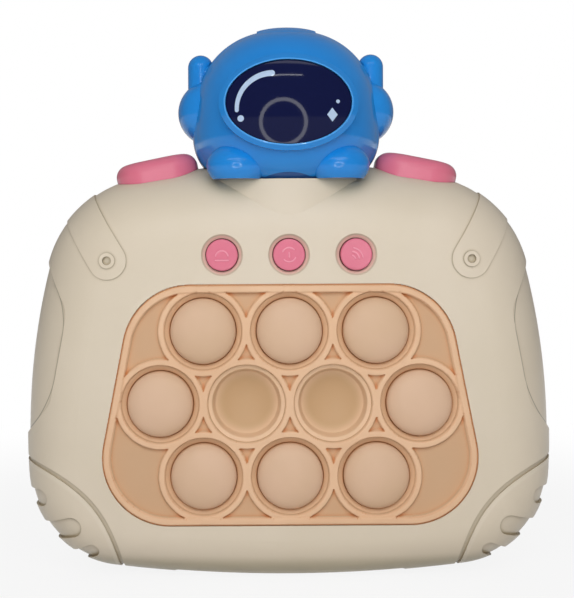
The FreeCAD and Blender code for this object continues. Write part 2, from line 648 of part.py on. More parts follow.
def draw_helmet(sketch, grow, with_neck):
    """Half of the helmet's upright section: crown, temple, cheek and jaw arcs, then the neck.
    A smaller copy also has its floor higher, so that the helmet keeps a wall there."""
    floor = platform_height - grow if number(grow) < 0 else platform_height
    top = (0.0, number(head_top - crown_curve))
    side = (number(head_radius - cheek_curve), number(head_middle))
    jaw = (head_radius - jaw_curve, head_middle)
    temple = circles_meet(top, number(crown_curve - temple_curve),
                          side, number(cheek_curve - temple_curve), True)
    first = reach_from(top, temple, number(crown_curve + grow))
    second = reach_from(side, temple, number(cheek_curve + grow))
    widest = (number(head_radius + grow), number(head_middle))
    drop = head_middle - floor
    jaw_end = jaw[0] + root((jaw_curve + grow) * (jaw_curve + grow) - drop * drop)
    low = (number(jaw_end), number(floor))
    arcs = [((number(jaw[0]), number(jaw[1])), jaw_curve + grow, low, widest),
            (side, cheek_curve + grow, widest, second),
            (temple, temple_curve + grow, second, first),
            (top, crown_curve + grow, first, (0.0, number(head_top + grow)))]
    drawn = []
    for centre, curve, start, end in arcs:
        drawn.append(sketch.addGeometry(arc_between(centre, number(curve), start, end), False))
        pin_radius(sketch, drawn[-1], curve)
    for i in range(1, len(drawn)):
        sketch.addConstraint(Sketcher.Constraint("Tangent", drawn[i - 1], 2, drawn[i], 1))
    pin_point(sketch, drawn[0], 3, jaw)
    pin(sketch, "DistanceY", drawn[0], 1, floor)
    pin(sketch, "DistanceY", drawn[1], 3, head_middle)
    pin_point(sketch, drawn[3], 3, (0, head_top - crown_curve))
    pin(sketch, "DistanceX", drawn[3], 2, 0)
    flange_top = platform_height - neck_plate - slide_gap
    flange_base = flange_top - neck_flange
    if with_neck:
        path = [(neck_radius + grow, platform_height), (neck_radius + grow, flange_top),
                (neck_flange_radius + grow, flange_top), (neck_flange_radius + grow, flange_base),
                (0, flange_base)]
    else:
        path = [(0, floor)]
    last, last_point = drawn[0], low
    last_end = 1
    for point in path:
        here = (number(point[0]), number(point[1]))
        line = sketch.addGeometry(Part.LineSegment(Vec(*last_point, 0), Vec(*here, 0)), False)
        sketch.addConstraint(Sketcher.Constraint("Coincident", last, last_end, line, 1))
        pin_point(sketch, line, 2, point)
        last, last_end, last_point = line, 2, here
    upright = Part.LineSegment(Vec(*last_point, 0), Vec(0, number(head_top + grow), 0))
    axis_line = sketch.addGeometry(upright, False)
    sketch.addConstraint(Sketcher.Constraint("Coincident", last, 2, axis_line, 1))
    sketch.addConstraint(Sketcher.Constraint("Coincident", drawn[3], 2, axis_line, 2))


def helmet_solid(name, grow, with_neck=False):
    """The whole helmet as a turned solid, grown all over by a distance."""
    body, planes = new_body(name)
    sketch = body_sketch(body, planes["XZ_Plane"], name + "_profile")
    draw_helmet(sketch, grow, with_neck)
    spin = body.newObject("PartDesign::Revolution", name + "_turn")
    spin.Profile = sketch
    spin.ReferenceAxis = (sketch, ["V_Axis"])
    spin.Angle = 360.0
    return body


def visor_prism(name, grow):
    """The visor's oval outline, grown all round, through the front of the helmet."""
    oval = doc.addObject("Part::Ellipse", name + "_oval")
    bind(oval, "MajorRadius", visor_half_width + grow)
    bind(oval, "MinorRadius", visor_half_height + grow)
    place(oval, 0.0, -visor_reach, visor_height, (1, 0, 0), 90.0)
    return raise_sketch(name, oval, visor_reach - window_low)


def visor_ball(name, radius):
    """A ball about the centre of the visor's curve, level with the helmet's largest radius."""
    ball = doc.addObject("Part::Sphere", name)
    bind(ball, "Radius", radius)
    place(ball, 0.0, visor_curve - head_radius - visor_rise, head_middle)
    return ball


def pad_corners(grow):
    """The pad's outline, grown all round. The sides lean, so their ends move by the lean too."""
    rise, run = pad_top - pad_bottom, pad_bottom_half - pad_top_half
    slant = root(rise * rise + run * run)
    side = grow * slant / rise
    lean = grow * run / rise
    top_half, bottom_half = pad_top_half + side - lean, pad_bottom_half + side + lean
    radius = pad_corner + grow
    return [(top_half, pad_top + grow, radius), (-top_half, pad_top + grow, radius),
            (-bottom_half, pad_bottom - grow, radius), (bottom_half, pad_bottom - grow, radius)]


def board_corners():
    """The outline that the key frame's plate and the circuit board share."""
    return [(board_top_half, board_top, board_corner),
            (-board_top_half, board_top, board_corner),
            (-board_bottom_half, board_bottom, board_corner),
            (board_bottom_half, board_bottom, board_corner)]


def bubble_places():
    """Centres of the ten bubbles, in rows of three, four and three from the top."""
    places = []
    for row, count in ((1, 3), (0, 4), (-1, 3)):
        for i in range(count):
            places.append((bubble_pitch * (i - (count - 1) / 2), bubble_middle + bubble_row_pitch * row))
    return places


def cone(name, low_radius, high_radius, length, x, y, z, along="z"):
    """A cone frustum that starts at a point, laid out as a rod is."""
    frustum = doc.addObject("Part::Cone", name)
    bind(frustum, "Radius1", low_radius)
    bind(frustum, "Radius2", high_radius)
    bind(frustum, "Height", length)
    axis, angle = turns[along]
    place(frustum, x, y, z, axis, angle)
    return frustum


def ellipsoid(name, x, y, z, half_width, half_depth, half_height):
    """An ellipsoid about its centre."""
    ball = doc.addObject("Part::Ellipsoid", name)
    bind(ball, "Radius1", half_height)
    bind(ball, "Radius2", half_width)
    bind(ball, "Radius3", half_depth)
    place(ball, x, y, z)
    return ball


def screw(name, x, z, seat, reach):
    """A pan-head screw along Y, its head behind a seat at a fore distance, its tip at another."""
    tip = screw_shank / 2
    points = [(0, seat - screw_head_height), (screw_head, seat - screw_head_height), (screw_head, seat),
              (screw_shank, seat), (screw_shank, reach - tip), (0, reach)]
    return turned(name, points, x, 0.0, z)


def on_both_sides(places):
    """Places on the right, each followed by its mirror image on the left."""
    return [(x * side, z) for x, z in places for side in (1, -1)]


bubbles = bubble_places()
pressed = (5, 6)
case_places = on_both_sides([(case_high_x, case_high_z), (case_middle_x, case_middle_z),
                             (case_low_x, case_low_z)])
board_places = on_both_sides([(board_high_x, board_high_z), (board_low_x, board_low_z)])
head_places = on_both_sides([(head_screw_x, head_screw_z)])
front_buttons = [(-front_button_pitch, "power_button"), (front_button_pitch * 0, "mode_button"),
                 (front_button_pitch, "sound_button")]

# Planes in front of the parting plane, from the face to the back of the board
inner_face = body_half_depth - wall
pad_back = inner_face - pad_sheet
ring_face = body_half_depth + pad_proud
bubble_travel = bubble_rise * 2
well_end = pad_back - bubble_travel - seat_gap
well_back = well_end - well_floor
bubble_ball = (bubble_radius * bubble_radius + bubble_rise * bubble_rise) / (bubble_rise * 2)
bubble_under = inner_face + bubble_rise - bubble_wall
plunger_tip = bubble_under - bubble_travel - end_gap + plunger_travel
guide_top = plunger_tip - plunger_crown - plunger_edge - plunger_travel - end_gap
board_back = board_fore - board_thickness
reach_out = body_half_depth * 2
far = body_height * 2
post_radius = screw_shank + pilot_gap + post_wall

# The console's front skin: the rounded solid with its straps, platform and reliefs
outer = console_half("outer_front", 0.0)
cavity = console_half("cavity_front", wall)
raised = console_half("raised_front", -strap_rise)


def sink(name, tools, depth):
    """Cutting tools that reach a set depth below the console's rounded skin."""
    return take(name, join(name + "_reach", tools) if len(tools) > 1 else tools[0],
                [console_half(name + "_floor", depth)])


strap_area = tongue("strap", strap_end_across, strap_end_height, strap_lean, strap_half_width,
                    shoulder_curve, reach_out)
straps = both_sides("strap", shared("strap_right", [raised, strap_area]))
rivets = [rod("rivet_%d" % i, rivet_outer, wall + rivet_rise, x, -inner_face, z, "front")
          for i, (x, z) in enumerate(on_both_sides([(strap_end_across, strap_end_height)]))]
rivet_cups = [rod("rivet_cup_%d" % i, rivet_inner, wall, x, -body_half_depth, z, "front")
              for i, (x, z) in enumerate(on_both_sides([(strap_end_across, strap_end_height)]))]
oval = doc.addObject("Part::Ellipse", "platform_outline")
bind(oval, "MajorRadius", platform_half_width)
bind(oval, "MinorRadius", platform_half_depth)
place(oval, 0.0, 0.0, platform_height - top_round)
platform_whole = raise_sketch("platform_whole", oval, top_round)
platform_front = block("platform_front", (-far, far), (-far, zero), (zero, far))
platform = shared("platform", [platform_whole, platform_front])

grip_edge = body_half_width + wall * 2
grip_area = front_prism("grip_area", [
    (grip_edge, grip_top_height, wall), (grip_near, grip_near_height, grip_corner),
    (grip_low, grip_low_height, grip_corner), (grip_edge, grip_foot_height, wall)], zero, reach_out)
grip = sink("grip", both_sides("grip_area", grip_area), grip_depth)
treads = []
for i, (x, z, lean, half_width) in enumerate(tread_places):
    tread = tongue("tread_%d" % i, x, z, lean, half_width, corner_curve, reach_out)
    treads += both_sides("tread_%d" % i, tread)
tread_cuts = sink("tread", treads, tread_depth)
boot_ring = take("boot_ring", rod("boot_ring_out", boot_line_curve + boot_line_width / 2, reach_out,
                                  boot_line_x, 0.0, boot_line_z, "front"),
                 [rod("boot_ring_in", boot_line_curve - boot_line_width / 2, reach_out,
                      boot_line_x, 0.0, boot_line_z, "front")])
boot_cuts = sink("boot", both_sides("boot", boot_ring), boot_line_depth)
panel_low = belly_panel_height - body_half_depth
belly_cut = sink("belly", [front_prism("belly_area", [
    (belly_panel_half_width, belly_panel_height, wall), (-belly_panel_half_width, belly_panel_height, wall),
    (-belly_panel_half_width, panel_low, wall), (belly_panel_half_width, panel_low, wall)],
    zero, reach_out)], belly_panel_depth)
floor_cut = block("floor_cut", (-far, far), (-far, far), (-far, zero))
skin_front = take("skin_front", join("skin_front_whole", [outer, platform] + straps + rivets),
                  rivet_cups + [grip, tread_cuts, boot_cuts, belly_cut, floor_cut])
skin_rear = mirror("skin_rear", skin_front, (0, 1, 0))
outer_rear = mirror("outer_rear", outer, (0, 1, 0))
cavity_rear = mirror("cavity_rear", cavity, (0, 1, 0))

# The helmet's solids, which also shape its seat in the body
helmet_full = helmet_solid("helmet_full", 0.0, True)
hand_places = on_both_sides([(hand_across, hand_height)])


def hand_balls(name, grow):
    """The two hands as whole ellipsoids, grown by a distance."""
    return [ellipsoid("%s_%d" % (name, i), x, -hand_fore, z, hand_half_width + grow,
                      hand_half_depth + grow, hand_half_height + grow)
            for i, (x, z) in enumerate(hand_places)]


def above_platform(name, thing):
    """The part of a thing that lies above the platform."""
    return take(name, thing, [block(name + "_below", (-far, far), (-far, far), (zero, platform_height))])


under_plate = platform_height - neck_plate
flange_room = neck_flange + slide_gap + seat_gap
head_seat = [helmet_solid("seat_helmet", seat_gap),
             above_platform("seat_hands", join("seat_balls", hand_balls("seat_ball", seat_gap))),
             rod("neck_hole", neck_radius + slide_gap, neck_plate * 2, 0.0, 0.0,
                 under_plate - neck_plate / 2),
             rod("neck_flange_room", neck_flange_radius + seat_gap, flange_room,
                 0.0, 0.0, under_plate - flange_room)]


def neck_plate_half(name, low, high):
    """Half of the platform's top plate, closed below by the room for the helmet's flange."""
    return shared(name, [platform_whole, block(name + "_range", (-far, far), (low, high),
                                               (under_plate - neck_plate * 2, platform_height))])


# Shoulder buttons lie on the top line, leaning with it
shoulder_base = body_height - top_curve + root(top_curve * top_curve - shoulder_across * shoulder_across)


def shoulder_point(along, out):
    """A point by its distance along the leaning shoulder and out of it."""
    x = shoulder_across + along * cosine(shoulder_lean) + out * sine(shoulder_lean)
    z = shoulder_base - along * sine(shoulder_lean) + out * cosine(shoulder_lean)
    return x, z


def shoulder_prism(name, grow, low, high):
    """The shoulder button's outline, grown all round, between two distances out of the shoulder."""
    sketch = doc.addObject("Sketcher::SketchObject", name + "_outline")
    x, z = shoulder_point(zero, low)
    place(sketch, x, 0.0, z, (0, 1, 0), shoulder_lean)
    half_length, half_width = shoulder_half_length + grow, shoulder_half_width + grow
    radius = shoulder_corner + grow
    draw_polygon(sketch, [(half_length, half_width, radius), (-half_length, half_width, radius),
                          (-half_length, -half_width, radius), (half_length, -half_width, radius)])
    return raise_sketch(name, sketch, high - low)


def shoulder_rod(name, radius, low, high):
    """A rod out of the shoulder, between two distances from it."""
    x, z = shoulder_point(zero, low)
    cylinder = doc.addObject("Part::Cylinder", name)
    bind(cylinder, "Radius", radius)
    bind(cylinder, "Height", high - low)
    place(cylinder, x, 0.0, z, (0, 1, 0), shoulder_lean)
    return cylinder


def shoulder_block(name, half_length, low_y, high_y, low, high):
    """A box on the leaning shoulder, between two distances from it."""
    box = doc.addObject("Part::Box", name)
    bind(box, "Length", half_length * 2)
    bind(box, "Width", high_y - low_y)
    bind(box, "Height", high - low)
    x, z = shoulder_point(-half_length, low)
    place(box, x, low_y, z, (0, 1, 0), shoulder_lean)
    return box


flange_low = -shoulder_skirt
flange_high = flange_low + wall / 2
stem_low = flange_low - shoulder_stem_length
pin_top = stem_low - shoulder_travel - end_gap
switch_top = pin_top - tact_pin
shelf_top = switch_top - tact_height
shoulder_cap = shoulder_prism("shoulder_cap", zero, flange_low, shoulder_rise)
doc.recompute()
top_x, top_z = shoulder_point(zero, shoulder_rise)
top_centre = Vec(number(top_x), 0, number(top_z))
lean_normal = Vec(number(sine(shoulder_lean)), 0, number(cosine(shoulder_lean)))
shoulder_soft = doc.addObject("Part::Fillet", "shoulder_soft")
shoulder_soft.Base = shoulder_cap
shoulder_soft.Edges = [(i + 1, number(shoulder_round), number(shoulder_round))
                       for i, edge in enumerate(shoulder_cap.Shape.Edges)
                       if max(abs((v.Point - top_centre).dot(lean_normal)) for v in edge.Vertexes) < 1e-6]
shoulder_button_right = join("shoulder_button_right", [
    shoulder_soft, shoulder_prism("shoulder_flange_solid", shoulder_flange, flange_low, flange_high),
    shoulder_rod("shoulder_stem_solid", shoulder_stem, stem_low, flange_low)])
shoulder_button_left = mirror("shoulder_button_left", shoulder_button_right, (1, 0, 0))
shoulder_hole = shoulder_prism("shoulder_hole", shoulder_gap, flange_low, shoulder_curve)
shoulder_holes = both_sides("shoulder_hole", shoulder_hole)
room_low = flange_low - shoulder_travel - wall
shoulder_room = shoulder_prism("shoulder_room", shoulder_flange + shoulder_gap, room_low,
                               flange_high + slide_gap)
shoulder_rooms = both_sides("shoulder_room", shoulder_room)
tact_half = tact_side / 2
shoulder_switch = join("shoulder_switch", [
    shoulder_block("shoulder_switch_body", tact_half, -tact_half, tact_half, shelf_top, switch_top),
    shoulder_rod("shoulder_switch_pin", tact_pin_radius, switch_top, pin_top)])
shoulder_switches = gather("shoulder_switches", both_sides("shoulder_switch", shoulder_switch))

# Front shell
pilot_radius = screw_shank + pilot_gap
pilot_length = screw_reach + end_gap
front_posts = [rod("case_post_%d" % i, post_radius, inner_face, x, 0.0, z, "front")
               for i, (x, z) in enumerate(case_places)]
front_posts += [rod("board_post_%d" % i, post_radius, inner_face - board_fore, x, -board_fore, z, "front")
                for i, (x, z) in enumerate(board_places)]
front_pilots = [rod("case_pilot_%d" % i, pilot_radius, pilot_length, x, 0.0, z, "front")
                for i, (x, z) in enumerate(case_places)]
front_pilots += [rod("board_pilot_%d" % i, pilot_radius, pilot_length, x, -board_fore, z, "front")
                 for i, (x, z) in enumerate(board_places)]
post_room = console_half("post_room", wall / 2)
front_trim = shared("front_trim", [post_room, join("front_posts", front_posts)])
button_holes = []
button_hole_radius = front_button_radius + front_button_gap
for x, name in front_buttons:
    button_holes.append(rod(name + "_hole", button_hole_radius, wall * 2, x, -inner_face + wall / 2,
                            front_button_height, "front"))
    button_holes.append(cone(name + "_bevel", button_hole_radius, button_hole_radius + front_button_dish,
                             front_button_dish, x, front_button_dish - body_half_depth,
                             front_button_height, "front"))
pad_window = front_prism("pad_window", pad_corners(bubble_gap), inner_face - wall, reach_out)
front_hollow = take("front_hollow", skin_front, [cavity])
front_plate = neck_plate_half("front_neck_plate", -far, zero)
front_shell = take("front_shell", join("front_shell_whole", [front_hollow, front_trim, front_plate]),
                   head_seat + shoulder_holes + front_pilots + button_holes + [pad_window] + shoulder_rooms)

# Rear shell, with the battery bay, the speaker seat and the switch shelves
bay_low, bay_high = cell_middle - bay_half_height, cell_middle + bay_half_height
door_half = bay_half_length + door_margin
door_low, door_high = bay_low - door_margin, bay_high + door_head
door_inner = body_half_depth - door_thickness
door_screw_height = bay_high + door_head / 2
bay_outer = bay_half_length + bay_wall
into_skin = inner_face + wall / 2
bay_block = block("bay_block", (-bay_outer, bay_outer), (bay_floor - bay_wall, door_inner),
                  (bay_low - bay_wall, bay_high + bay_wall))
door_frame = block("door_frame", (-door_half - wall, door_half + wall), (door_inner - wall, into_skin),
                   (door_low - wall, door_high + wall))
bay_room = block("bay_room", (-bay_half_length, bay_half_length), (bay_floor, reach_out),
                 (bay_low, bay_high))


def rear_prism(name, corners, low, high):
    """A rounded outline between two distances behind the parting plane."""
    sketch = free_sketch(name + "_outline", fore=-high)
    draw_polygon(sketch, corners)
    return raise_sketch(name, sketch, high - low)


def door_corners(grow):
    """The battery door's outline, grown all round."""
    half, low, high = door_half + grow, door_low - grow, door_high + grow
    return [(half, high, door_corner), (-half, high, door_corner),
            (-half, low, door_corner), (half, low, door_corner)]


door_room = rear_prism("door_room", door_corners(door_gap), door_inner, reach_out)
rear_tubes = [rod("rear_tube_%d" % i, well_mouth + bay_wall, inner_face, x, 0.0, z, "y")
              for i, (x, z) in enumerate(case_places)]
rear_wells = [rod("rear_well_%d" % i, well_mouth, reach_out, x, well_seat, z, "y")
              for i, (x, z) in enumerate(case_places)]
bore_radius = screw_shank + slide_gap / 2
rear_bores = [rod("rear_bore_%d" % i, bore_radius, reach_out, x, 0.0, z, "y")
              for i, (x, z) in enumerate(case_places)]
door_post = rod("door_post", post_radius + bay_wall / 2, door_inner - bay_floor, 0.0, bay_floor,
                door_screw_height, "y")
door_pilot = rod("door_pilot", pilot_radius, screw_reach + wall, 0.0,
                 door_inner - screw_reach - wall / 2, door_screw_height, "y")
speaker_front = inner_face - speaker_depth
speaker_seat = speaker_radius + slide_gap
ring_out = rod("speaker_ring_out", speaker_seat + bay_wall, into_skin - speaker_front,
               0.0, speaker_front, speaker_height, "y")
ring_in = rod("speaker_ring_in", speaker_seat, speaker_depth, 0.0, speaker_front, speaker_height, "y")
speaker_ring = take("speaker_ring", ring_out, [ring_in])
switch_shelf = shoulder_block("switch_shelf", tact_side, -tact_half, into_skin, shelf_top - shelf, shelf_top)
shelves = both_sides("switch_shelf", switch_shelf)
grille_low, grille_high = speaker_height - speaker_radius, speaker_height + speaker_radius
grille_start = inner_face - end_gap
slots = [block("grille_slot_%d" % i, (grille_pitch * i - grille_slot / 2, grille_pitch * i + grille_slot / 2),
               (grille_start, reach_out), (grille_low, grille_high)) for i in (-2, -1, 0, 1, 2)]
grille_round = rod("grille_round", speaker_radius - wall / 2, reach_out, 0.0, grille_start,
                   speaker_height, "y")
grille = shared("grille", [join("grille_slots", slots), grille_round])
rear_hollow = take("rear_hollow", skin_rear, [cavity_rear])
tube_trim = shared("tube_trim", [mirror("post_room_rear", post_room, (0, 1, 0)), join("rear_tubes", rear_tubes)])
rear_fittings = join("rear_fittings", [tube_trim, bay_block, door_frame, door_post, speaker_ring])
rear_trim = shared("rear_trim", [outer_rear, rear_fittings])
shelf_limit = block("shelf_limit", (-far, far), (-far, inner_face + wall / 4), (zero, far))
rear_shelves = shared("rear_shelves", [shelf_limit, join("shelf_pair", shelves)])
rear_plate = neck_plate_half("rear_neck_plate", zero, far)
rear_shell = take("rear_shell", join("rear_shell_whole", [rear_hollow, rear_trim, rear_shelves, rear_plate]),
                  head_seat + shoulder_holes + shoulder_rooms + rear_wells + rear_bores
                  + [bay_room, door_room, door_pilot, grille])

# Battery door with its screw
screw_seat = door_inner + door_thickness / 2
door_plate = rear_prism("door_plate", door_corners(zero), door_inner, body_half_depth)
door_mouth = rod("door_mouth", screw_head + slide_gap, door_thickness, 0.0, screw_seat,
                 door_screw_height, "y")
door_bore = rod("door_bore", bore_radius, reach_out, 0.0, bay_floor, door_screw_height, "y")
thumb_cuts = [block("thumb_cut_%d" % i, (-speaker_radius, speaker_radius),
                    (body_half_depth - door_thickness / 3, reach_out),
                    (bay_low + slot_height, bay_low + slot_height + grille_slot))
              for i, slot_height in enumerate((grille_pitch, grille_pitch * 2, grille_pitch * 3))]
battery_door = take("battery_door", door_plate, [door_mouth, door_bore] + thumb_cuts)
battery_door_screw = screw("battery_door_screw", 0.0, door_screw_height, -screw_seat,
                           screw_reach - door_inner)

# Batteries and their contacts
cell_y = bay_floor + cell_gap + cell_radius
cell_end = bay_half_length - contact_thickness - cell_nub
battery_nodes = []
springs = []
plates = []
spring_end = -bay_half_length + contact_thickness
spring_length = cell_end - cell_length - spring_end
for i, row in enumerate((-1, 0, 1)):
    z = cell_middle + cell_pitch * row
    side = 1 if i % 2 == 0 else -1
    cell = join("cell_%d" % i, [
        rod("cell_body_%d" % i, cell_radius, cell_length, cell_end - cell_length, cell_y, z, "x"),
        rod("cell_nub_%d" % i, cell_nub_radius, cell_nub, cell_end, cell_y, z, "x")])
    coil = cone("coil_%d" % i, spring_wide, spring_narrow, spring_length, spring_end, cell_y, z, "x")
    core = cone("coil_core_%d" % i, spring_wide - spring_wire * 2, spring_narrow - spring_wire * 2,
                spring_length, spring_end, cell_y, z, "x")
    spring = take("spring_%d" % i, coil, [core])
    if side < 0:
        cell = mirror("cell_turned_%d" % i, cell, (1, 0, 0))
        spring = mirror("spring_turned_%d" % i, spring, (1, 0, 0))
    battery_nodes.append(cell)
    springs.append(spring)
battery_springs = gather("battery_springs", springs)
for side, spans in ((-1, ((-1, -1), (0, 1))), (1, ((-1, 0), (1, 1)))):
    for low_row, high_row in spans:
        x_low = bay_half_length - contact_thickness if side > 0 else -bay_half_length
        plates.append(block("contact_%d_%d" % (side + 1, low_row + 1), (x_low, x_low + contact_thickness),
                            (cell_y - contact_reach, cell_y + contact_reach),
                            (cell_middle + cell_pitch * low_row - contact_reach,
                             cell_middle + cell_pitch * high_row + contact_reach)))
battery_plates = gather("battery_plates", plates)

# Speaker
basket_edge = speaker_radius - wall / 2
speaker = turned("speaker", [
    (0, speaker_front), (magnet_radius, speaker_front), (magnet_radius, speaker_front + magnet_depth),
    (speaker_radius, inner_face - wall / 2), (speaker_radius, inner_face), (basket_edge, inner_face),
    (magnet_radius / 2, inner_face - cone_depth), (0, inner_face - cap_depth)],
    0.0, 0.0, speaker_height, "y")

# Silicone pad: sheet with flange, rim and rings
pad_outline = front_prism("pad_outline", pad_corners(zero), inner_face, ring_face)
pad_sheet_solid = front_prism("pad_sheet_solid", pad_corners(pad_flange), pad_back, inner_face)
pad_inside = front_prism("pad_inside", pad_corners(-pad_rim), inner_face, reach_out)
pad_rim_solid = take("pad_rim_solid", pad_outline, [pad_inside])
rings = [rod("ring_%d" % i, ring_outer, ring_face - inner_face, x, -inner_face, z, "front")
         for i, (x, z) in enumerate(bubbles)]
ring_rooms = [rod("ring_room_%d" % i, ring_inner, wall * 2, x, -inner_face, z, "front")
              for i, (x, z) in enumerate(bubbles)]
hole_start = pad_back - pad_sheet / 2
hole_radius = bubble_radius + bubble_gap
bubble_holes = [rod("bubble_hole_%d" % i, hole_radius, pad_sheet * 2, x, -hole_start, z, "front")
                for i, (x, z) in enumerate(bubbles)]
ring_field = shared("ring_field", [pad_outline, join("rings", rings)])
bubble_pad = take("bubble_pad", join("pad_whole", [pad_sheet_solid, pad_rim_solid, ring_field]),
                  ring_rooms + bubble_holes)

# Key frame: a plate with a well, a guide and a light window behind each bubble
guide_radius = plunger_stem + slide_gap + guide_wall
plate_back = pad_back - plate
frame_plate = shared("frame_plate", [front_prism("frame_slab", board_corners(), plate_back, pad_back),
                                     console_half("frame_limit", wall + slide_gap)])
collar_room = post_radius + seat_gap
frame_solids = [rod("well_%d" % i, well_radius + well_wall, pad_back - well_back, x, -well_back, z, "front")
                for i, (x, z) in enumerate(bubbles)]
collar_outer = collar_room + well_wall
frame_solids += [rod("collar_%d" % i, collar_outer, pad_back - board_fore, x, -board_fore, z, "front")
                 for i, (x, z) in enumerate(board_places)]
well_rooms = [rod("well_room_%d" % i, well_radius, pad_back - well_end + wall, x, -well_end, z, "front")
              for i, (x, z) in enumerate(bubbles)]
frame_open = take("frame_open", join("frame_whole", [frame_plate] + frame_solids), well_rooms)
guides = [rod("guide_%d" % i, guide_radius, guide_top - well_back, x, -well_back, z, "front")
          for i, (x, z) in enumerate(bubbles)]
frame_cuts = [rod("guide_hole_%d" % i, plunger_stem + slide_gap, pad_back, x, -well_back + wall, z, "front")
              for i, (x, z) in enumerate(bubbles)]
window_start = well_back - wall / 2
frame_cuts += [rod("light_window_%d" % i, light_window, wall * 2, x + light_offset, -window_start, z, "front")
               for i, (x, z) in enumerate(bubbles)]
frame_cuts += [rod("collar_hole_%d" % i, collar_room, reach_out, x, -board_fore + wall, z, "front")
               for i, (x, z) in enumerate(board_places)]
button_flange_radius = front_button_radius + front_button_flange
frame_cuts += [rod(name + "_room", button_flange_radius + seat_gap, wall * 2, x, -plate_back + wall / 2,
                   front_button_height, "front") for x, name in front_buttons]
key_frame = take("key_frame", join("frame_guided", [frame_open] + guides), frame_cuts)

# Circuit board and what it carries
board_slab = front_prism("board_slab", board_corners(), board_back, board_fore)
board_hole = screw_shank + slide_gap
main_board = take("main_board", board_slab, [
    rod("board_hole_%d" % i, board_hole, board_fore * 2, x, 0.0, z, "front")
    for i, (x, z) in enumerate(board_places)])
dome_crown = dome_switch_radius / 2
bubble_switches = gather("bubble_switches", [
    cone("dome_switch_%d" % i, dome_switch_radius, dome_crown, dome_switch_height, x, -board_fore, z, "front")
    for i, (x, z) in enumerate(bubbles)])
bubble_lights = gather("bubble_lights", [
    block("light_%d" % i, (x + light_offset - light_side / 2, x + light_offset + light_side / 2),
          (-board_fore - light_height, -board_fore), (z - light_side / 2, z + light_side / 2))
    for i, (x, z) in enumerate(bubbles)])
tact_fore = board_fore + tact_height
tacts = []
for x, name in front_buttons:
    tacts.append(join(name + "_switch", [
        block(name + "_switch_body", (x - tact_half, x + tact_half), (-tact_fore, -board_fore),
              (front_button_height - tact_half, front_button_height + tact_half)),
        rod(name + "_switch_pin", tact_pin_radius, tact_pin, x, -tact_fore, front_button_height, "front")]))
front_switches = gather("front_switches", tacts)
chip_x = -board_high_x / 2
controller_chip = block("controller_chip", (chip_x - chip_width / 2, chip_x + chip_width / 2),
                        (-board_back, chip_thickness - board_back),
                        (speaker_height - chip_height / 2, speaker_height + chip_height / 2))
capacitor = rod("capacitor", capacitor_radius, capacitor_length, -chip_x, -board_back, speaker_height, "y")

# Front buttons
button_end = tact_fore + tact_pin + front_button_travel + end_gap
flange_front = inner_face - end_gap
flange_back = flange_front - front_button_flange
button_face = body_half_depth + front_button_proud
button_nodes = []
for x, name in front_buttons:
    button_nodes.append(turned(name, [
        (0, button_end), (front_button_stem, button_end), (front_button_stem, flange_back),
        (button_flange_radius, flange_back), (button_flange_radius, flange_front),
        (front_button_radius, flange_front),
        (front_button_radius, button_face - front_button_round, -front_button_round),
        (front_button_radius - front_button_round, button_face), (0, button_face)],
        x, 0.0, front_button_height))

# Bubbles and plungers
bubble_nodes = []
plunger_nodes = []
inner_ball = bubble_ball - bubble_wall
inner_radius = bubble_radius - bubble_wall
ball_centre = inner_face + bubble_rise - bubble_ball
bowl_centre = inner_face - bubble_rise + bubble_ball
outer_bowl = bubble_ball + bubble_wall
inner_edge = ball_centre + root(inner_ball * inner_ball - inner_radius * inner_radius)
bowl_edge = bowl_centre - root(outer_bowl * outer_bowl - bubble_radius * bubble_radius)
crown_ball = (plunger_cap * plunger_cap + plunger_crown * plunger_crown) / (plunger_crown * 2)
for i, (x, z) in enumerate(bubbles):
    label = i + 1
    if label in pressed:
        profile = [(bubble_radius, bowl_edge), (bubble_radius, inner_face, bubble_ball),
                   (0, inner_face - bubble_rise), (0, inner_face - bubble_rise - bubble_wall, -outer_bowl)]
    else:
        profile = [(bubble_radius, pad_back), (bubble_radius, inner_face, -bubble_ball),
                   (0, inner_face + bubble_rise), (0, inner_face + bubble_rise - bubble_wall, inner_ball),
                   (inner_radius, inner_edge), (inner_radius, pad_back)]
    bubble_nodes.append(turned("bubble_%02d" % label, profile, x, 0.0, z))
    drop = plunger_travel if label in pressed else zero
    tip = plunger_tip - drop
    stem_end = board_fore + dome_switch_height + plunger_travel + end_gap - drop
    cap_edge = tip - plunger_crown
    plunger_nodes.append(turned("plunger_%02d" % label, [
        (0, stem_end), (plunger_stem, stem_end), (plunger_stem, cap_edge - plunger_edge),
        (plunger_cap, cap_edge - plunger_edge), (plunger_cap, cap_edge, -crown_ball), (0, tip)], x, 0.0, z))

# Helmet shells, visor, ear cups and hands
helmet_inner = helmet_solid("helmet_inner", -head_wall)
crest_skin = helmet_solid("crest_skin", crest_rise - crest_fade)
place(crest_skin, 0.0, 0.0, crest_fade)
crest = shared("crest", [crest_skin,
                         block("crest_band", (-crest_half_width, crest_half_width), (-far, far),
                               (visor_height, far))])
visor_reach = head_radius * 2
window_low = head_wall * 3
bezel = shared("bezel", [visor_ball("bezel_ball", visor_curve + bezel_rise - visor_rise),
                         visor_prism("bezel_outline", bezel_width)])
visor_floor = visor_ball("visor_floor", visor_curve - visor_thickness)
window_step = take("window_step", visor_prism("window_outline", zero), [visor_floor])
window_hole = visor_prism("window_hole", -visor_ledge)
bore_start = under_plate - neck_flange - head_wall
neck_bore = rod("neck_bore", neck_radius - head_wall, platform_height + head_wall * 2 - bore_start,
                0.0, 0.0, bore_start)
helmet_walls = take("helmet_walls", join("helmet_outer", [helmet_full, crest, bezel]),
                    [helmet_inner, window_step, window_hole, neck_bore])
head_posts = join("head_posts", [rod("head_post_%d" % i, post_radius, head_radius, x, 0.0, z, "front")
                                 for i, (x, z) in enumerate(head_places)])
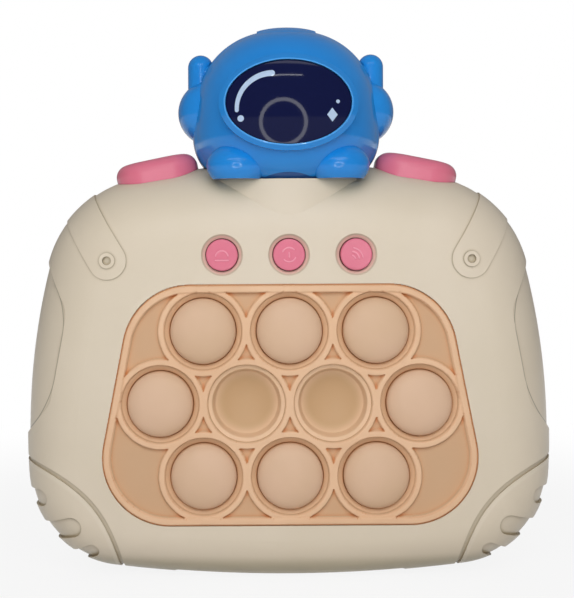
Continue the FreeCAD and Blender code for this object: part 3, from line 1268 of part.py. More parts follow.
head_tubes = join("head_tubes", [rod("head_tube_%d" % i, well_mouth + bay_wall, head_radius, x, 0.0, z, "y")
                                 for i, (x, z) in enumerate(head_places)])
front_half = block("front_half", (-far, far), (-far, zero), (zero, far))
rear_half = block("rear_half", (-far, far), (zero, far), (zero, far))
helmet_front_whole = join("helmet_front_whole", [shared("helmet_front_half", [helmet_walls, front_half]),
                                                 shared("head_posts_in", [helmet_full, head_posts])])
head_pilots = [rod("head_pilot_%d" % i, pilot_radius, pilot_length, x, 0.0, z, "front")
               for i, (x, z) in enumerate(head_places)]
helmet_front = take("helmet_front", helmet_front_whole, head_pilots)
helmet_rear_whole = join("helmet_rear_whole", [shared("helmet_rear_half", [helmet_walls, rear_half]),
                                               shared("head_tubes_in", [helmet_full, head_tubes])])
head_wells = [rod("head_well_%d" % i, well_mouth, far, x, well_seat, z, "y")
              for i, (x, z) in enumerate(head_places)]
head_bores = [rod("head_bore_%d" % i, bore_radius, far, x, 0.0, z, "y")
              for i, (x, z) in enumerate(head_places)]
helmet_rear = take("helmet_rear", helmet_rear_whole, head_wells + head_bores)
visor_dome = shared("visor_dome", [visor_prism("visor_outline", -slide_gap),
                                   visor_ball("visor_face", visor_curve)])
visor = take("visor", visor_dome, [visor_floor])
ear_edge = ear_reach - ear_curve + root(ear_curve * ear_curve - ear_radius * ear_radius)
ear_disc = turned("ear_disc", [
    (0, neck_radius), (ear_radius, neck_radius), (ear_radius, ear_edge, -ear_curve), (0, ear_reach)],
    0.0, 0.0, ear_height, "x")
stub_foot = ear_height + ear_radius / 2
stub = rod("stub", stub_radius, stub_top - stub_radius - stub_foot, stub_across, 0.0, stub_foot)
tip_height = stub_top - stub_radius
stub_tip = ellipsoid("stub_tip", stub_across, 0.0, tip_height, stub_radius, stub_radius, stub_radius)
stub_inner = ellipsoid("stub_inner", stub_across - stub_heel, 0.0, tip_height - stub_heel,
                       stub_radius, stub_radius, stub_radius)
ear_whole = join("ear_whole", [ear_disc, stub, stub_tip, stub_inner])
ear_cup_right = take("ear_cup_right", ear_whole, [helmet_full])
ear_cup_left = mirror("ear_cup_left", ear_cup_right, (1, 0, 0))
hand_right_ball, hand_left_ball = hand_balls("hand_ball", zero)
hand_right = take("hand_right", above_platform("hand_right_flat", hand_right_ball), [helmet_full])
hand_left = take("hand_left", above_platform("hand_left_flat", hand_left_ball), [helmet_full])

# Screws
case_screws = gather("case_screws", [screw("case_screw_%d" % i, x, z, -well_seat, screw_reach)
                                     for i, (x, z) in enumerate(case_places)])
board_reach = board_fore + screw_reach
board_screws = gather("board_screws", [screw("board_screw_%d" % i, x, z, board_back, board_reach)
                                       for i, (x, z) in enumerate(board_places)])
helmet_screws = gather("helmet_screws", [screw("helmet_screw_%d" % i, x, z, -well_seat, screw_reach)
                                         for i, (x, z) in enumerate(head_places)])

nodes = {
    "front_shell": front_shell, "rear_shell": rear_shell, "battery_door": battery_door,
    "battery_door_screw": battery_door_screw, "case_screws": case_screws, "board_screws": board_screws,
    "helmet_screws": helmet_screws, "bubble_pad": bubble_pad, "key_frame": key_frame,
    "main_board": main_board, "bubble_switches": bubble_switches, "bubble_lights": bubble_lights,
    "front_switches": front_switches,
    "shoulder_switches": shoulder_switches, "controller_chip": controller_chip, "capacitor": capacitor,
    "speaker": speaker, "battery_springs": battery_springs, "battery_plates": battery_plates,
    "helmet_front": helmet_front, "helmet_rear": helmet_rear, "visor": visor, "ear_cup_left": ear_cup_left,
    "ear_cup_right": ear_cup_right, "hand_left": hand_left, "hand_right": hand_right,
    "shoulder_button_left": shoulder_button_left, "shoulder_button_right": shoulder_button_right,
}
for i, thing in enumerate(battery_nodes):
    nodes["battery_%d" % (i + 1)] = thing
for (x, name), thing in zip(front_buttons, button_nodes):
    nodes[name] = thing
for i, thing in enumerate(bubble_nodes):
    nodes["bubble_%02d" % (i + 1)] = thing
for i, thing in enumerate(plunger_nodes):
    nodes["plunger_%02d" % (i + 1)] = thing

doc.recompute()
faulty = [thing.Name for thing in doc.Objects if "Invalid" in thing.State or "Error" in thing.State]
if faulty:
    raise RuntimeError("objects that failed: " + ", ".join(faulty))
os.makedirs("parts", exist_ok=True)
for name, thing in nodes.items():
    if thing.Shape.isNull() or not thing.Shape.isValid() or not thing.Shape.Solids:
        raise RuntimeError("no sound solid in " + name)
for name, thing in nodes.items():
    thing.Label = name
    thing.Shape.exportStep("parts/%s.step" % name)
    print("%-24s %2d solid(s) %9.1f mm3" % (name, len(thing.Shape.Solids), thing.Shape.Volume))
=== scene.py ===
import math

import bmesh
import bpy
import numpy as np
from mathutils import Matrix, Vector


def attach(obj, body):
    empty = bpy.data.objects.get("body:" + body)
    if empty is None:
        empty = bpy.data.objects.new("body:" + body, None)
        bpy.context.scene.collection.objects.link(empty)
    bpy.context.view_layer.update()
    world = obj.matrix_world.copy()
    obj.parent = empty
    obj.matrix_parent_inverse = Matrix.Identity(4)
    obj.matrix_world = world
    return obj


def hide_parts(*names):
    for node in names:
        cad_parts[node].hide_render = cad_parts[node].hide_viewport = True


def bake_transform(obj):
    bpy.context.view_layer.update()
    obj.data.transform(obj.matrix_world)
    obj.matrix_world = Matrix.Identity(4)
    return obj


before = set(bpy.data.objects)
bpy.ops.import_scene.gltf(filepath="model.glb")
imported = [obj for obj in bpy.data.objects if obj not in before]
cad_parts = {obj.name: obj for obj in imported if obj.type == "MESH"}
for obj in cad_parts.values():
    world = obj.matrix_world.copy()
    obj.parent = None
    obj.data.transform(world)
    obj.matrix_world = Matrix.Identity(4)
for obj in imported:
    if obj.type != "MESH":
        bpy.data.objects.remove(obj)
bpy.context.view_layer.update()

mm = 0.001
frontFade = (5, 10)  # mm in front of the middle plane
print("frame loaded, %d nodes" % len(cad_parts))


# Shader maths: a Wire wraps one socket, and an expression on wires adds its Math nodes
class Wire:
    def __init__(self, tree, socket):
        self.tree = tree
        self.socket = socket

    def maths(self, operation, first, second):
        return self.tree.add("ShaderNodeMath", {"operation": operation}, [first, second])

    def __add__(self, other):
        return self.maths("ADD", self, other)

    def __radd__(self, other):
        return self.maths("ADD", other, self)

    def __sub__(self, other):
        return self.maths("SUBTRACT", self, other)

    def __rsub__(self, other):
        return self.maths("SUBTRACT", other, self)

    def __mul__(self, other):
        return self.maths("MULTIPLY", self, other)

    def __rmul__(self, other):
        return self.maths("MULTIPLY", other, self)

    def __truediv__(self, other):
        return self.maths("DIVIDE", self, other)

    def __rtruediv__(self, other):
        return self.maths("DIVIDE", other, self)

    def __pow__(self, other):
        return self.maths("POWER", self, other)

    def __rpow__(self, other):
        return self.maths("POWER", other, self)

    def biggest(self, other):
        return self.maths("MAXIMUM", self, other)

    def smallest(self, other):
        return self.maths("MINIMUM", self, other)

    # the size of the value without its sign
    def size(self):
        return self.biggest(0 - self)

    # another output of the same node
    def sibling(self, output):
        return Wire(self.tree, self.socket.node.outputs[output])


# One node tree, with the few nodes that the finishes share
class Tree:
    def __init__(self, owner):
        owner.use_nodes = True
        self.nodes = owner.node_tree.nodes
        self.links = owner.node_tree.links
        self.nodes.clear()

    # settings first, then the inputs by place or by name; gives back one output as a Wire
    def add(self, kind, settings=None, inputs=(), output=0):
        node = self.nodes.new(kind)
        for name, value in (settings or {}).items():
            setattr(node, name, value)
        pairs = inputs.items() if isinstance(inputs, dict) else enumerate(inputs)
        for name, value in pairs:
            if isinstance(value, Wire):
                self.links.new(value.socket, node.inputs[name])
            else:
                node.inputs[name].default_value = value
        return Wire(self, node.outputs[output]) if len(node.outputs) else node

    def place(self):
        return self.add("ShaderNodeTexCoord", output="Object")

    # across and height of the shaded point in millimetres
    def frontPlace(self):
        across = self.add("ShaderNodeSeparateXYZ", None, [self.place()], "X")
        return across / mm, across.sibling("Z") / mm

    # distance of the shaded point in front of the middle plane in millimetres
    def fore(self):
        return self.add("ShaderNodeSeparateXYZ", None, [self.place()], "Y") / -mm

    # 1 on the front, fading to 0 before the middle plane, so that nothing shows on the back
    def onFront(self):
        return self.ramp(self.fore(), *frontFade)

    def noise(self, scale, detail):
        return self.add("ShaderNodeTexNoise", None, {
            "Vector": self.place(), "Scale": scale, "Detail": detail}, "Fac")

    # 1 where the camera, a gloss or a clear surface looks at it
    def seen(self):
        camera = self.add("ShaderNodeLightPath", output="Is Camera Ray")
        glossy, clear = camera.sibling("Is Glossy Ray"), camera.sibling("Is Transmission Ray")
        return camera.biggest(glossy).biggest(clear)

    # an S curve from 0 at low to 1 at high
    def ramp(self, value, low, high):
        return self.add("ShaderNodeMapRange", {"interpolation_type": "SMOOTHSTEP"}, {
            "Value": value, "From Min": low, "From Max": high})

    # the first colour where share is 0, the second where it is 1 (the node's inputs 6 and 7, output 2)
    def mixed(self, share, first, second):
        return self.add("ShaderNodeMix", {"data_type": "RGBA"}, {0: share, 6: first, 7: second}, 2)


# sRGB 0-255 to the linear colour that Blender's sockets hold
def tint(red, green, blue):
    share = np.array([red, green, blue]) / 255
    linear = np.where(share <= 0.04045, share / 12.92, ((share + 0.055) / 1.055) ** 2.4)
    return (*[float(value) for value in linear], 1)


# 1 on a painted shade line along the edge step round the side grips, a four-cornered field with round corners
# on either side
def gripShadeLine(tree, grip):
    across, height = tree.frontPlace()
    across = across.size()
    distance = None
    for first, second in zip(grip["corners"], grip["corners"][1:]):
        along = np.subtract(second, first) / math.dist(first, second)
        alongAcross, alongUp = float(along[0]), float(along[1])
        away = (across - first[0]) * alongUp - (height - first[1]) * alongAcross
        if distance is None:
            distance = away
        else:
            one, other = (distance + grip["round"]).biggest(0), (away + grip["round"]).biggest(0)
            deepest = distance.biggest(away).smallest(-grip["round"])
            distance = deepest + (one * one + other * other) ** 0.5
    line = 1 - tree.ramp(distance.size(), grip["line"], grip["line"] + grip["edge"])
    return line * tree.ramp(tree.fore(), 0.0, grip["from"])


# 1 within the dishes round the front buttons: the distance to the nearest centre is under the radius
def nearPlaces(tree, paintedDishLight):
    across, height = tree.frontPlace()
    nearest = None
    for placeAcross, placeHeight in paintedDishLight["places"]:
        gapAcross, gapUp = across - placeAcross, height - placeHeight
        gap = (gapAcross * gapAcross + gapUp * gapUp) ** 0.5
        nearest = gap.smallest(nearest) if nearest else gap
    near = 1 - tree.ramp(nearest, paintedDishLight["radius"], paintedDishLight["radius"] + paintedDishLight["edge"])
    return near * tree.ramp(tree.fore(), *paintedDishLight["fore"])


# Painted shade as a soft dark band, and a painted highlight as a light one below it, along the round line of
# the boots
def bootShadeAndHighlight(tree, boot, colour):
    across, height = tree.frontPlace()
    across, height = across.size() - boot["across"], height - boot["height"]
    distance = (across * across + height * height) ** 0.5 - boot["radius"]
    for name, middle in (("dark", 0.0), ("light", -boot["apart"])):
        share = (1 - tree.ramp((distance - middle).size(), boot["core"], boot["width"])) * boot["share"]
        colour = tree.mixed(share, colour, tint(*boot[name]))
    return colour


# 1 on the low panel at the front edge of the underside
def bellyShare(tree, belly):
    across, height = tree.frontPlace()
    side = 1 - tree.ramp(across.size() + height, *belly["sides"])
    return (1 - tree.ramp(height, *belly["heights"])) * side


# 1 on the painted shade under the helmet's round lower edge, height + across^2 / (2 * radius)
def neckShadeShare(tree, neck):
    across, height = tree.frontPlace()
    level = height + across * across / (2 * neck["radius"])
    return (1 - tree.ramp(level, *neck["levels"])) * tree.onFront()


# Distance outside the oval window's edge along the line from its middle, far - far / oval
def windowDistance(tree, lip):
    across, height = tree.frontPlace()
    height = height - lip["height"]
    far = (across * across + height * height) ** 0.5
    oval = ((across / lip["halfWidth"]) ** 2 + (height / lip["halfHeight"]) ** 2) ** 0.5
    return far - far / oval


# The rim round the visor slopes outward: its height falls with the distance from the window
def lipHeight(tree, lip):
    distance = windowDistance(tree, lip) - lip["flat"]
    return distance.biggest(0).smallest(lip["end"]) * -lip["slope"] * tree.onFront()


# 1 on the painted highlight along the window's narrow edge
def lipHighlight(tree, lip):
    near = 1 - tree.ramp(windowDistance(tree, lip), lip["edgeWidth"] / 2, lip["edgeWidth"] * 2)
    return near * tree.onFront()


# What all moulded finishes share: clouds and grain per metre, the bump's and the gloss's spread, and the
# occlusion samples for the painted shade
mould = {"cloudScale": 30, "cloudDetail": 3, "cloudEnds": (0.35, 0.65), "grainScale": 3000, "grainDetail": 2,
         "grainDepth": 0.1, "bump": 0.08, "roughSpread": 0.06, "roughEnds": (0.2, 0.8), "ior": 1.46,
         "samples": {"hollowShade": 8, "creviceShade": 6}}


# Moulded plastic or rubber: clouded colour, fine grain as bump, painted shade by depth and in crevices and
# hollows, and the painted light and shade marks that a look asks for
def mouldedFinish(name, look):
    material = bpy.data.materials.new(name)
    tree = Tree(material)
    cloud = tree.noise(mould["cloudScale"], mould["cloudDetail"])
    grain = tree.noise(mould["grainScale"], mould["grainDetail"])
    colour = tree.mixed(tree.ramp(cloud, *mould["cloudEnds"]), tint(*look["colour"]), tint(*look["shade"]))
    # painted shade: the colour darkens with depth below the front
    if "deepShade" in look:
        share = tree.ramp(tree.fore(), look["deepShadeFrom"], look["deepShadeTo"])
        colour = tree.mixed(share, tint(*look["deepShade"]), colour)
    # painted shade: the colour darkens where ambient occlusion finds the point closed in, in crevices and
    # hollows
    for kind, samples in mould["samples"].items():
        if kind in look:
            openness = tree.add("ShaderNodeAmbientOcclusion", {"samples": samples}, {
                "Distance": look[kind + "Reach"] * mm}, "AO")
            share = tree.ramp(openness, look[kind + "Dark"], look[kind + "Light"])
            colour = tree.mixed(share, tint(*look[kind]), colour)
    # another colour on the raised parts: a painted highlight on the button signs, and on popped bubbles the
    # seat's colour above the wall's painted light
    if "raised" in look:
        share = tree.ramp(tree.fore(), look["raisedFrom"], look["raisedTo"])
        colour = tree.mixed(share, colour, tint(*look["raised"]))
    # painted light: a lighter, pinker cream in the dishes round the front buttons
    if "paintedDishLight" in look:
        colour = tree.mixed(nearPlaces(tree, look["paintedDishLight"]), colour, tint(*look["paintedDishLight"]["colour"]))
    # painted shade and painted highlight bands along the boots; the low front panel of the underside darker
    if "boot" in look:
        colour = bootShadeAndHighlight(tree, look["boot"], colour)
        colour = tree.mixed(bellyShare(tree, look["belly"]), colour, tint(*look["belly"]["colour"]))
    if "lip" in look:
        # painted highlight on the visor window's edge
        colour = tree.mixed(lipHighlight(tree, look["lip"]), colour, tint(*look["lip"]["edge"]))
        # painted shade under the helmet's lower edge
        colour = tree.mixed(neckShadeShare(tree, look["neck"]), colour, tint(*look["neck"]["colour"]))
    # painted shade line along the grips' edge step
    if "grip" in look:
        colour = tree.mixed(gripShadeLine(tree, look["grip"]), colour, tint(*look["grip"]["colour"]))
    bump = {"Strength": look.get("bump", mould["bump"]), "Distance": mould["grainDepth"] * mm,
            "Height": grain}
    if "lip" in look:
        bump["Normal"] = tree.add("ShaderNodeBump", None, {
            "Strength": 1.0, "Distance": mm, "Height": lipHeight(tree, look["lip"])})
    rough = tree.ramp(cloud, *mould["roughEnds"]) * mould["roughSpread"] + look["roughness"]
    surface = tree.add("ShaderNodeBsdfPrincipled", None, {
        "Base Color": colour, "Roughness": rough, "Normal": tree.add("ShaderNodeBump", None, bump),
        "IOR": mould["ior"], "Metallic": look.get("metal", 0.0)})
    tree.add("ShaderNodeOutputMaterial", None, {"Surface": surface})
    return material


# One finish for each material slot; colours are 0-255, reaches and places are in millimetres
looks = {
    "shell_cream": {"colour": (219, 206, 186), "shade": (216, 203, 182), "roughness": 0.36,
                    # painted shade in crevices and hollows
                    "creviceShade": (176, 160, 134), "creviceShadeReach": 1.0, "creviceShadeDark": 0.4, "creviceShadeLight": 0.95,
                    "hollowShade": (186, 175, 150), "hollowShadeReach": 9.0, "hollowShadeDark": 0.45, "hollowShadeLight": 0.92,
                    # painted shade line round the side grips
                    "grip": {"corners": ((82.3, 113.0), (63.3, 77.0), (68.3, 50.5), (82.3, 35.0)),
                             "round": 4.0, "line": 0.08, "edge": 0.2, "colour": (166, 155, 136),
                             "from": 3.0},
                    # painted light in the dishes round the front buttons
                    "paintedDishLight": {"places": ((-19.0, 92.8), (0.0, 92.8), (19.0, 92.8)), "radius": 5.15,
                              "edge": 0.65, "colour": (245, 211, 196), "fore": (15, 16)},
                    # painted shade and painted highlight along the boots
                    "boot": {"across": 82.4, "height": 0.4, "radius": 34.3, "core": 0.2, "width": 0.9,
                             "apart": 1.3, "share": 0.35, "dark": (176, 164, 144), "light": (228, 217, 199)},
                    "belly": {"sides": (34.6, 35.4), "heights": (1.9, 2.2), "colour": (198, 186, 158)}},
    "pad_peach": {"colour": (230, 190, 154), "shade": (226, 184, 147), "roughness": 0.55,
                  # painted shade: darker floor by depth and in crevices
                  "deepShade": (204, 166, 130), "deepShadeFrom": 19.5, "deepShadeTo": 20.7,
                  "creviceShade": (196, 122, 64), "creviceShadeReach": 1.3, "creviceShadeDark": 0.25, "creviceShadeLight": 0.92},
    "bubble_peach": {"colour": (219, 184, 155), "shade": (213, 179, 147), "roughness": 0.5,
                     # painted shade: darker seat and groove by depth and in crevices
                     "deepShade": (211, 173, 137), "deepShadeFrom": 19.3, "deepShadeTo": 19.75,
                     "creviceShade": (178, 122, 76), "creviceShadeReach": 1.2, "creviceShadeDark": 0.1,
                     "creviceShadeLight": 0.55},
    # Popped bubbles: the wall is painted lighter as painted light, the bowl darker by depth as painted shade,
    # and the raised seat stays near the plain bubble colour
    "bubble_popped": {"colour": (229, 194, 160), "shade": (223, 189, 153), "roughness": 0.5,
                      "deepShade": (195, 160, 120), "deepShadeFrom": 15.0, "deepShadeTo": 16.8,
                      "raised": (216, 181, 151), "raisedFrom": 19.3, "raisedTo": 19.7},
    "button_pink": {"colour": (224, 120, 143), "shade": (220, 115, 138), "roughness": 0.2,
                    # painted shade in the crevices; a painted highlight, lighter pink, on the raised signs
                    "creviceShade": (140, 20, 40), "creviceShadeReach": 1.5, "creviceShadeDark": 0.2, "creviceShadeLight": 0.7,
                    "raised": (238, 150, 170), "raisedFrom": 21.73, "raisedTo": 21.84},
    "helmet_blue": {"colour": (28, 138, 220), "shade": (23, 132, 214), "roughness": 0.09, "bump": 0.03,
                    # painted shade in crevices
                    "creviceShade": (14, 66, 130), "creviceShadeReach": 1.0, "creviceShadeDark": 0.2, "creviceShadeLight": 0.75,
                    # painted highlight colour for the window's edge; the rim's slope itself is a bump
                    "lip": {"height": 135.5, "halfWidth": 17.75, "halfHeight": 12.05, "flat": 0.4,
                            "end": 1.4, "slope": 0.45, "edge": (78, 164, 238), "edgeWidth": 0.3},
                    # painted shade under the helmet's lower edge
                    "neck": {"levels": (116.0, 116.3), "radius": 17.4, "colour": (14, 78, 146)}},
    "frame_white": {"colour": (226, 226, 220), "shade": (220, 220, 214), "roughness": 0.5},
    "light_cap": {"colour": (238, 238, 230), "shade": (232, 232, 224), "roughness": 0.4},
    "board_green": {"colour": (24, 92, 48), "shade": (20, 84, 42), "roughness": 0.35},
    "part_black": {"colour": (22, 22, 24), "shade": (28, 28, 30), "roughness": 0.45},
    "led_white": {"colour": (238, 232, 210), "shade": (232, 226, 200), "roughness": 0.4},
    "speaker_metal": {"colour": (46, 46, 48), "shade": (38, 38, 40), "roughness": 0.4},
    "contact_steel": {"colour": (196, 194, 188), "shade": (184, 182, 176), "roughness": 0.28, "metal": 1.0},
    "screw_steel": {"colour": (158, 158, 162), "shade": (146, 146, 150), "roughness": 0.3, "metal": 1.0},
    "cell_case": {"colour": (84, 92, 104), "shade": (78, 86, 98), "roughness": 0.35},
}
finishes = {slotName: mouldedFinish(slotName, look) for slotName, look in looks.items()}

# Visor: dark gloss bulging about its own centre, with pale glints printed on it
visorLook = {"colour": (14, 20, 60), "glint": (178, 199, 226), "roughness": 0.05, "ior": 1.22,
             "ball": (0.0, 28.7, 135.4), "arc": (-4.47, 133.5, 10.02), "turns": (-2, 89),
             "halfWidths": (0.55, 0.85), "dots": ((-13.41, 130.8, 0.9), (13.72, 135.47, 0.53)),
             "diamond": (12.09, 131.7, 1.5, 1.95), "edge": 0.06}


# Distance outside the nearest glint, a curved stroke with round ends, two dots and a diamond
def glintDistance(tree, look):
    across, height = tree.frontPlace()
    middle, level, radius = look["arc"]
    first, last = [math.radians(turn) for turn in look["turns"]]
    thin, thick = look["halfWidths"]
    turn = tree.add("ShaderNodeMath", {"operation": "ARCTAN2"}, [height - level, middle - across])
    turn = turn.biggest(first).smallest(last)
    sine = tree.add("ShaderNodeMath", {"operation": "SINE"}, [turn])
    cosine = tree.add("ShaderNodeMath", {"operation": "COSINE"}, [turn])
    gapAcross, gapUp = across - middle + cosine * radius, height - level - sine * radius
    share = (turn - first) / (last - first)
    distance = (gapAcross * gapAcross + gapUp * gapUp) ** 0.5 - thin - share * (thick - thin)
    for dotAcross, dotLevel, dotRadius in look["dots"]:
        gapAcross, gapUp = across - dotAcross, height - dotLevel
        distance = distance.smallest((gapAcross * gapAcross + gapUp * gapUp) ** 0.5 - dotRadius)
    middle, level, halfWidth, halfHeight = look["diamond"]
    gapAcross, gapUp = (across - middle).size(), (height - level).size()
    return distance.smallest(gapAcross + gapUp * (halfWidth / halfHeight) - halfWidth)


# The shading looks outward from the ball's centre: (place - centre) / length
def visorFinish(name, look):
    material = bpy.data.materials.new(name)
    tree = Tree(material)
    share = tree.ramp(glintDistance(tree, look), -look["edge"], look["edge"])
    outward = tree.add("ShaderNodeVectorMath", {"operation": "SUBTRACT"}, [
        tree.place(), tuple(value * mm for value in look["ball"])])
    outward = tree.add("ShaderNodeVectorMath", {"operation": "NORMALIZE"}, [outward])
    surface = tree.add("ShaderNodeBsdfPrincipled", None, {
        "Base Color": tree.mixed(share, tint(*look["glint"]), tint(*look["colour"])),
        "Roughness": look["roughness"], "IOR": look["ior"], "Normal": outward})
    tree.add("ShaderNodeOutputMaterial", None, {"Surface": surface})
    return material


finishes["visor_navy"] = visorFinish("visor_navy", visorLook)

# The CAD nodes keep their shapes and take the finishes by slot name
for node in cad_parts.values():
    for i, material in enumerate(node.data.materials):
        node.data.materials[i] = finishes[material.name.split(".")[0]]
print("finishes ready")


weldGap = 1e-6  # m, points closer than this become one


# A mesh from a grid of points in millimetres, rows by columns; its faces look along column x row
def gridPiece(name, points, slotName, body=None, closed=False, keep=None):
    rows, columns = points.shape[:2]
    index = np.arange(rows * columns).reshape(rows, columns)
    if closed:
        index = np.hstack([index, index[:, :1]])
    quads = np.stack([index[:-1, :-1], index[:-1, 1:], index[1:, 1:], index[1:, :-1]], -1).reshape(-1, 4)
    if keep is not None:
        quads = quads[keep.ravel()[quads].all(1)]
    mesh = bpy.data.meshes.new(name)
    mesh.from_pydata((points.reshape(-1, 3) * mm).tolist(), [], quads.tolist())
    work = bmesh.new()
    work.from_mesh(mesh)
    bmesh.ops.delete(work, geom=[point for point in work.verts if not point.link_faces], context="VERTS")
    bmesh.ops.remove_doubles(work, verts=work.verts, dist=weldGap)
    work.to_mesh(mesh)
    work.free()
    mesh.polygons.foreach_set("use_smooth", [True] * len(mesh.polygons))
    mesh.materials.append(finishes[slotName])
    piece = bpy.data.objects.new(name, mesh)
    bpy.context.scene.collection.objects.link(piece)
    if body:
        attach(piece, body)
    return piece


# 0 below low, 1 above high, and an S curve between them
def step(value, low, high):
    share = np.clip((value - low) / (high - low), 0, 1)
    return share * share * (3 - 2 * share)


# Bubbles: a sloping seat, a narrow groove and a dome, turned about the bubble's own axis
bubbleSize = {"radius": 9.3, "base": 18.6, "rise": 4.6, "wallTop": 19.7, "fullness": 2.4, "steepness": 0.5,
              "turns": 96, "rows": 30, "rowCrowding": 1.5, "seatRows": 5, "seatEdge": 10.88, "seatInner": 9.7,
              "seatHigh": 19.25, "seatLow": 18.75, "seatBend": 1.4, "seatDrop": 0.12, "groove": 17.5,
              "grooveWidth": 0.17, "grooveGap": 0.03, "grooveLip": 0.04, "grooveRound": 0.1, "hinge": 19.3}
bowlSize = {"wall": 9.95, "wallRows": 13, "edge": 8.8, "high": 16.2, "bend": 2.2, "hinge": 18.4,
            "seatRows": 4, "seatDrop": 0.18, "seatBend": 1.5}
padPlan = {"pitch": 24.5, "rowPitch": 20.6, "middle": 50.6, "rowCounts": (3, 4, 3), "pressed": (4, 5)}


# The bubbles' centres, row by row from the top left
def bubbleCentres(plan):
    centres = []
    for row, count in enumerate(plan["rowCounts"]):
        height = plan["middle"] + (1 - row) * plan["rowPitch"]
        centres += [((i - (count - 1) / 2) * plan["pitch"], height) for i in range(count)]
    return centres


# Raised: seat, groove and wall, then the dome,
# wall top + cap height * (1 - (r / radius)^fullness)^steepness
def raisedProfile(size):
    seat = np.linspace(0, 1, size["seatRows"])
    seatRadius = size["seatEdge"] + (size["seatInner"] - size["seatEdge"]) * seat
    seatFore = size["seatHigh"] + (size["seatLow"] - size["seatHigh"]) * seat ** size["seatBend"]
    inner, outer = size["radius"] + size["grooveGap"], size["radius"] + size["grooveWidth"]
    side = size["groove"] + size["grooveRound"]
    grooveRadius = np.array([outer + size["grooveLip"], outer, (inner + outer) / 2, inner])
    grooveFore = np.array([size["seatLow"] - size["seatDrop"], side, size["groove"], side])
    turn = np.sin(np.linspace(0, np.pi / 2, size["rows"])) ** size["rowCrowding"]
    radius = size["radius"] * (1 - turn ** 2) ** 0.5
    share = np.clip(1 - (radius / size["radius"]) ** size["fullness"], 0, 1)
    capHeight = size["base"] + size["rise"] - size["wallTop"]
    fore = size["wallTop"] + capHeight * share ** size["steepness"]
    return np.hstack([seatRadius, grooveRadius, radius]), np.hstack([seatFore, grooveFore, fore])


# Popped: the seat rolls over into a steep wall, then a shallow bowl, low + depth * (r / edge)^bend
def poppedProfile(size, bowl):
    seat = np.linspace(0, 1, bowl["seatRows"])
    seatRadius = size["seatEdge"] + (bowl["wall"] - size["seatEdge"]) * seat
    seatFore = size["seatHigh"] - bowl["seatDrop"] * seat ** bowl["seatBend"]
    wall = np.linspace(0, 1, bowl["wallRows"])[1:]
    wallFore = seatFore[-1] + (bowl["high"] - seatFore[-1]) * step(wall, 0.0, 1.0)
    wallRadius = bowl["wall"] + (bowl["edge"] - bowl["wall"]) * wall
    low = size["base"] - size["rise"]
    radius = bowl["edge"] * np.cos(np.linspace(0, np.pi / 2, size["rows"]))[1:]
    fore = low + (bowl["high"] - low) * (radius / bowl["edge"]) ** bowl["bend"]
    return np.hstack([seatRadius, wallRadius, radius]), np.hstack([seatFore, wallFore, fore])


# The profile is turned about the bubble's axis; its skin follows the pad up to the hinge, then the cap
def makeBubble(number, centre, size, bowl, pressed):
    radius, fore = poppedProfile(size, bowl) if pressed else raisedProfile(size)
    turn = np.arange(size["turns"]) / size["turns"] * 2 * np.pi
    points = np.stack([centre[0] + radius[:, None] * np.cos(turn), -fore[:, None] + 0 * turn,
                       centre[1] + radius[:, None] * np.sin(turn)], -1)
    node = "bubble_%02d" % number
    piece = gridPiece(node + "_skin", points, "bubble_peach", closed=True)
    if pressed:
        piece.data.materials[0] = finishes["bubble_popped"]
    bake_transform(piece)
    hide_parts(node)


centres = bubbleCentres(padPlan)
for i, centre in enumerate(centres):
    makeBubble(i + 1, centre, bubbleSize, bowlSize, i in padPlan["pressed"])
print("bubbles ready")

# Pad: one skin whose height over the field is the highest of its floor, its rings and its rim
padSize = {"cell": 0.27, "floor": 19.4, "ringTop": 20.85, "rimTop": 21.35, "ringInner": 10.9,
           "ringOuter": 12.9, "rim": 2.1, "round": 0.28, "ledge": 20.6, "ledgeWidth": 0.45, "hole": 10.62,
           "seat": 19.1, "topHalf": 43.9, "top": 84.15, "bottomHalf": 57.0, "bottom": 16.4, "corner": 19.0}


# Distance to the outline, a four-sided field with round corners (outside is positive), and its direction
def outlineDistance(x, z, size):
    lean = math.atan2(size["bottomHalf"] - size["topHalf"], size["top"] - size["bottom"])
    inset = size["corner"]
    sideIn = inset / math.cos(lean)
    tilt = math.tan(lean) * inset
    high, low = size["top"] - inset, size["bottom"] + inset
    topIn = size["topHalf"] - sideIn + tilt
    bottomIn = size["bottomHalf"] - sideIn - tilt
    corners = np.array([(topIn, high), (-topIn, high), (-bottomIn, low), (bottomIn, low)])
    best = np.full(x.shape, 1e9)
    outward = np.zeros(x.shape + (2,))
    inside = np.ones(x.shape, bool)
    for first, second in zip(corners, np.roll(corners, -1, 0)):
        along = second - first
        share = np.clip(((x - first[0]) * along[0] + (z - first[1]) * along[1]) / (along @ along), 0, 1)
        gapX, gapZ = x - first[0] - share * along[0], z - first[1] - share * along[1]
        gap = np.hypot(gapX, gapZ)
        closer = gap < best
        best = np.where(closer, gap, best)
        outward[closer] = np.stack([gapX, gapZ], -1)[closer] / np.maximum(gap, 1e-9)[closer][:, None]
        inside &= along[0] * (z - first[1]) - along[1] * (x - first[0]) > 0
    outward[inside] *= -1
    return np.where(inside, -best, best) - inset, outward


# Moves the grid's points that lie near one of the given levels of a distance onto it
def snap(x, z, distance, outward, levels, reach):
    for level in levels:
        near = np.abs(distance - level) < reach
        move = np.where(near, level - distance, 0)
        x, z = x + move * outward[..., 0], z + move * outward[..., 1]
        distance = np.where(near, level, distance)
    return x, z, distance


# Distance to the nearest bubble's centre, and the direction away from it
def nearestRing(x, z, centres):
    gaps = np.stack([np.hypot(x - cx, z - cz) for cx, cz in centres])
    pick = gaps.argmin(0)
    middle = np.array(centres)[pick]
    gap = gaps.min(0)
    return gap, np.stack([x - middle[..., 0], z - middle[..., 1]], -1) / np.maximum(gap, 1e-9)[..., None]


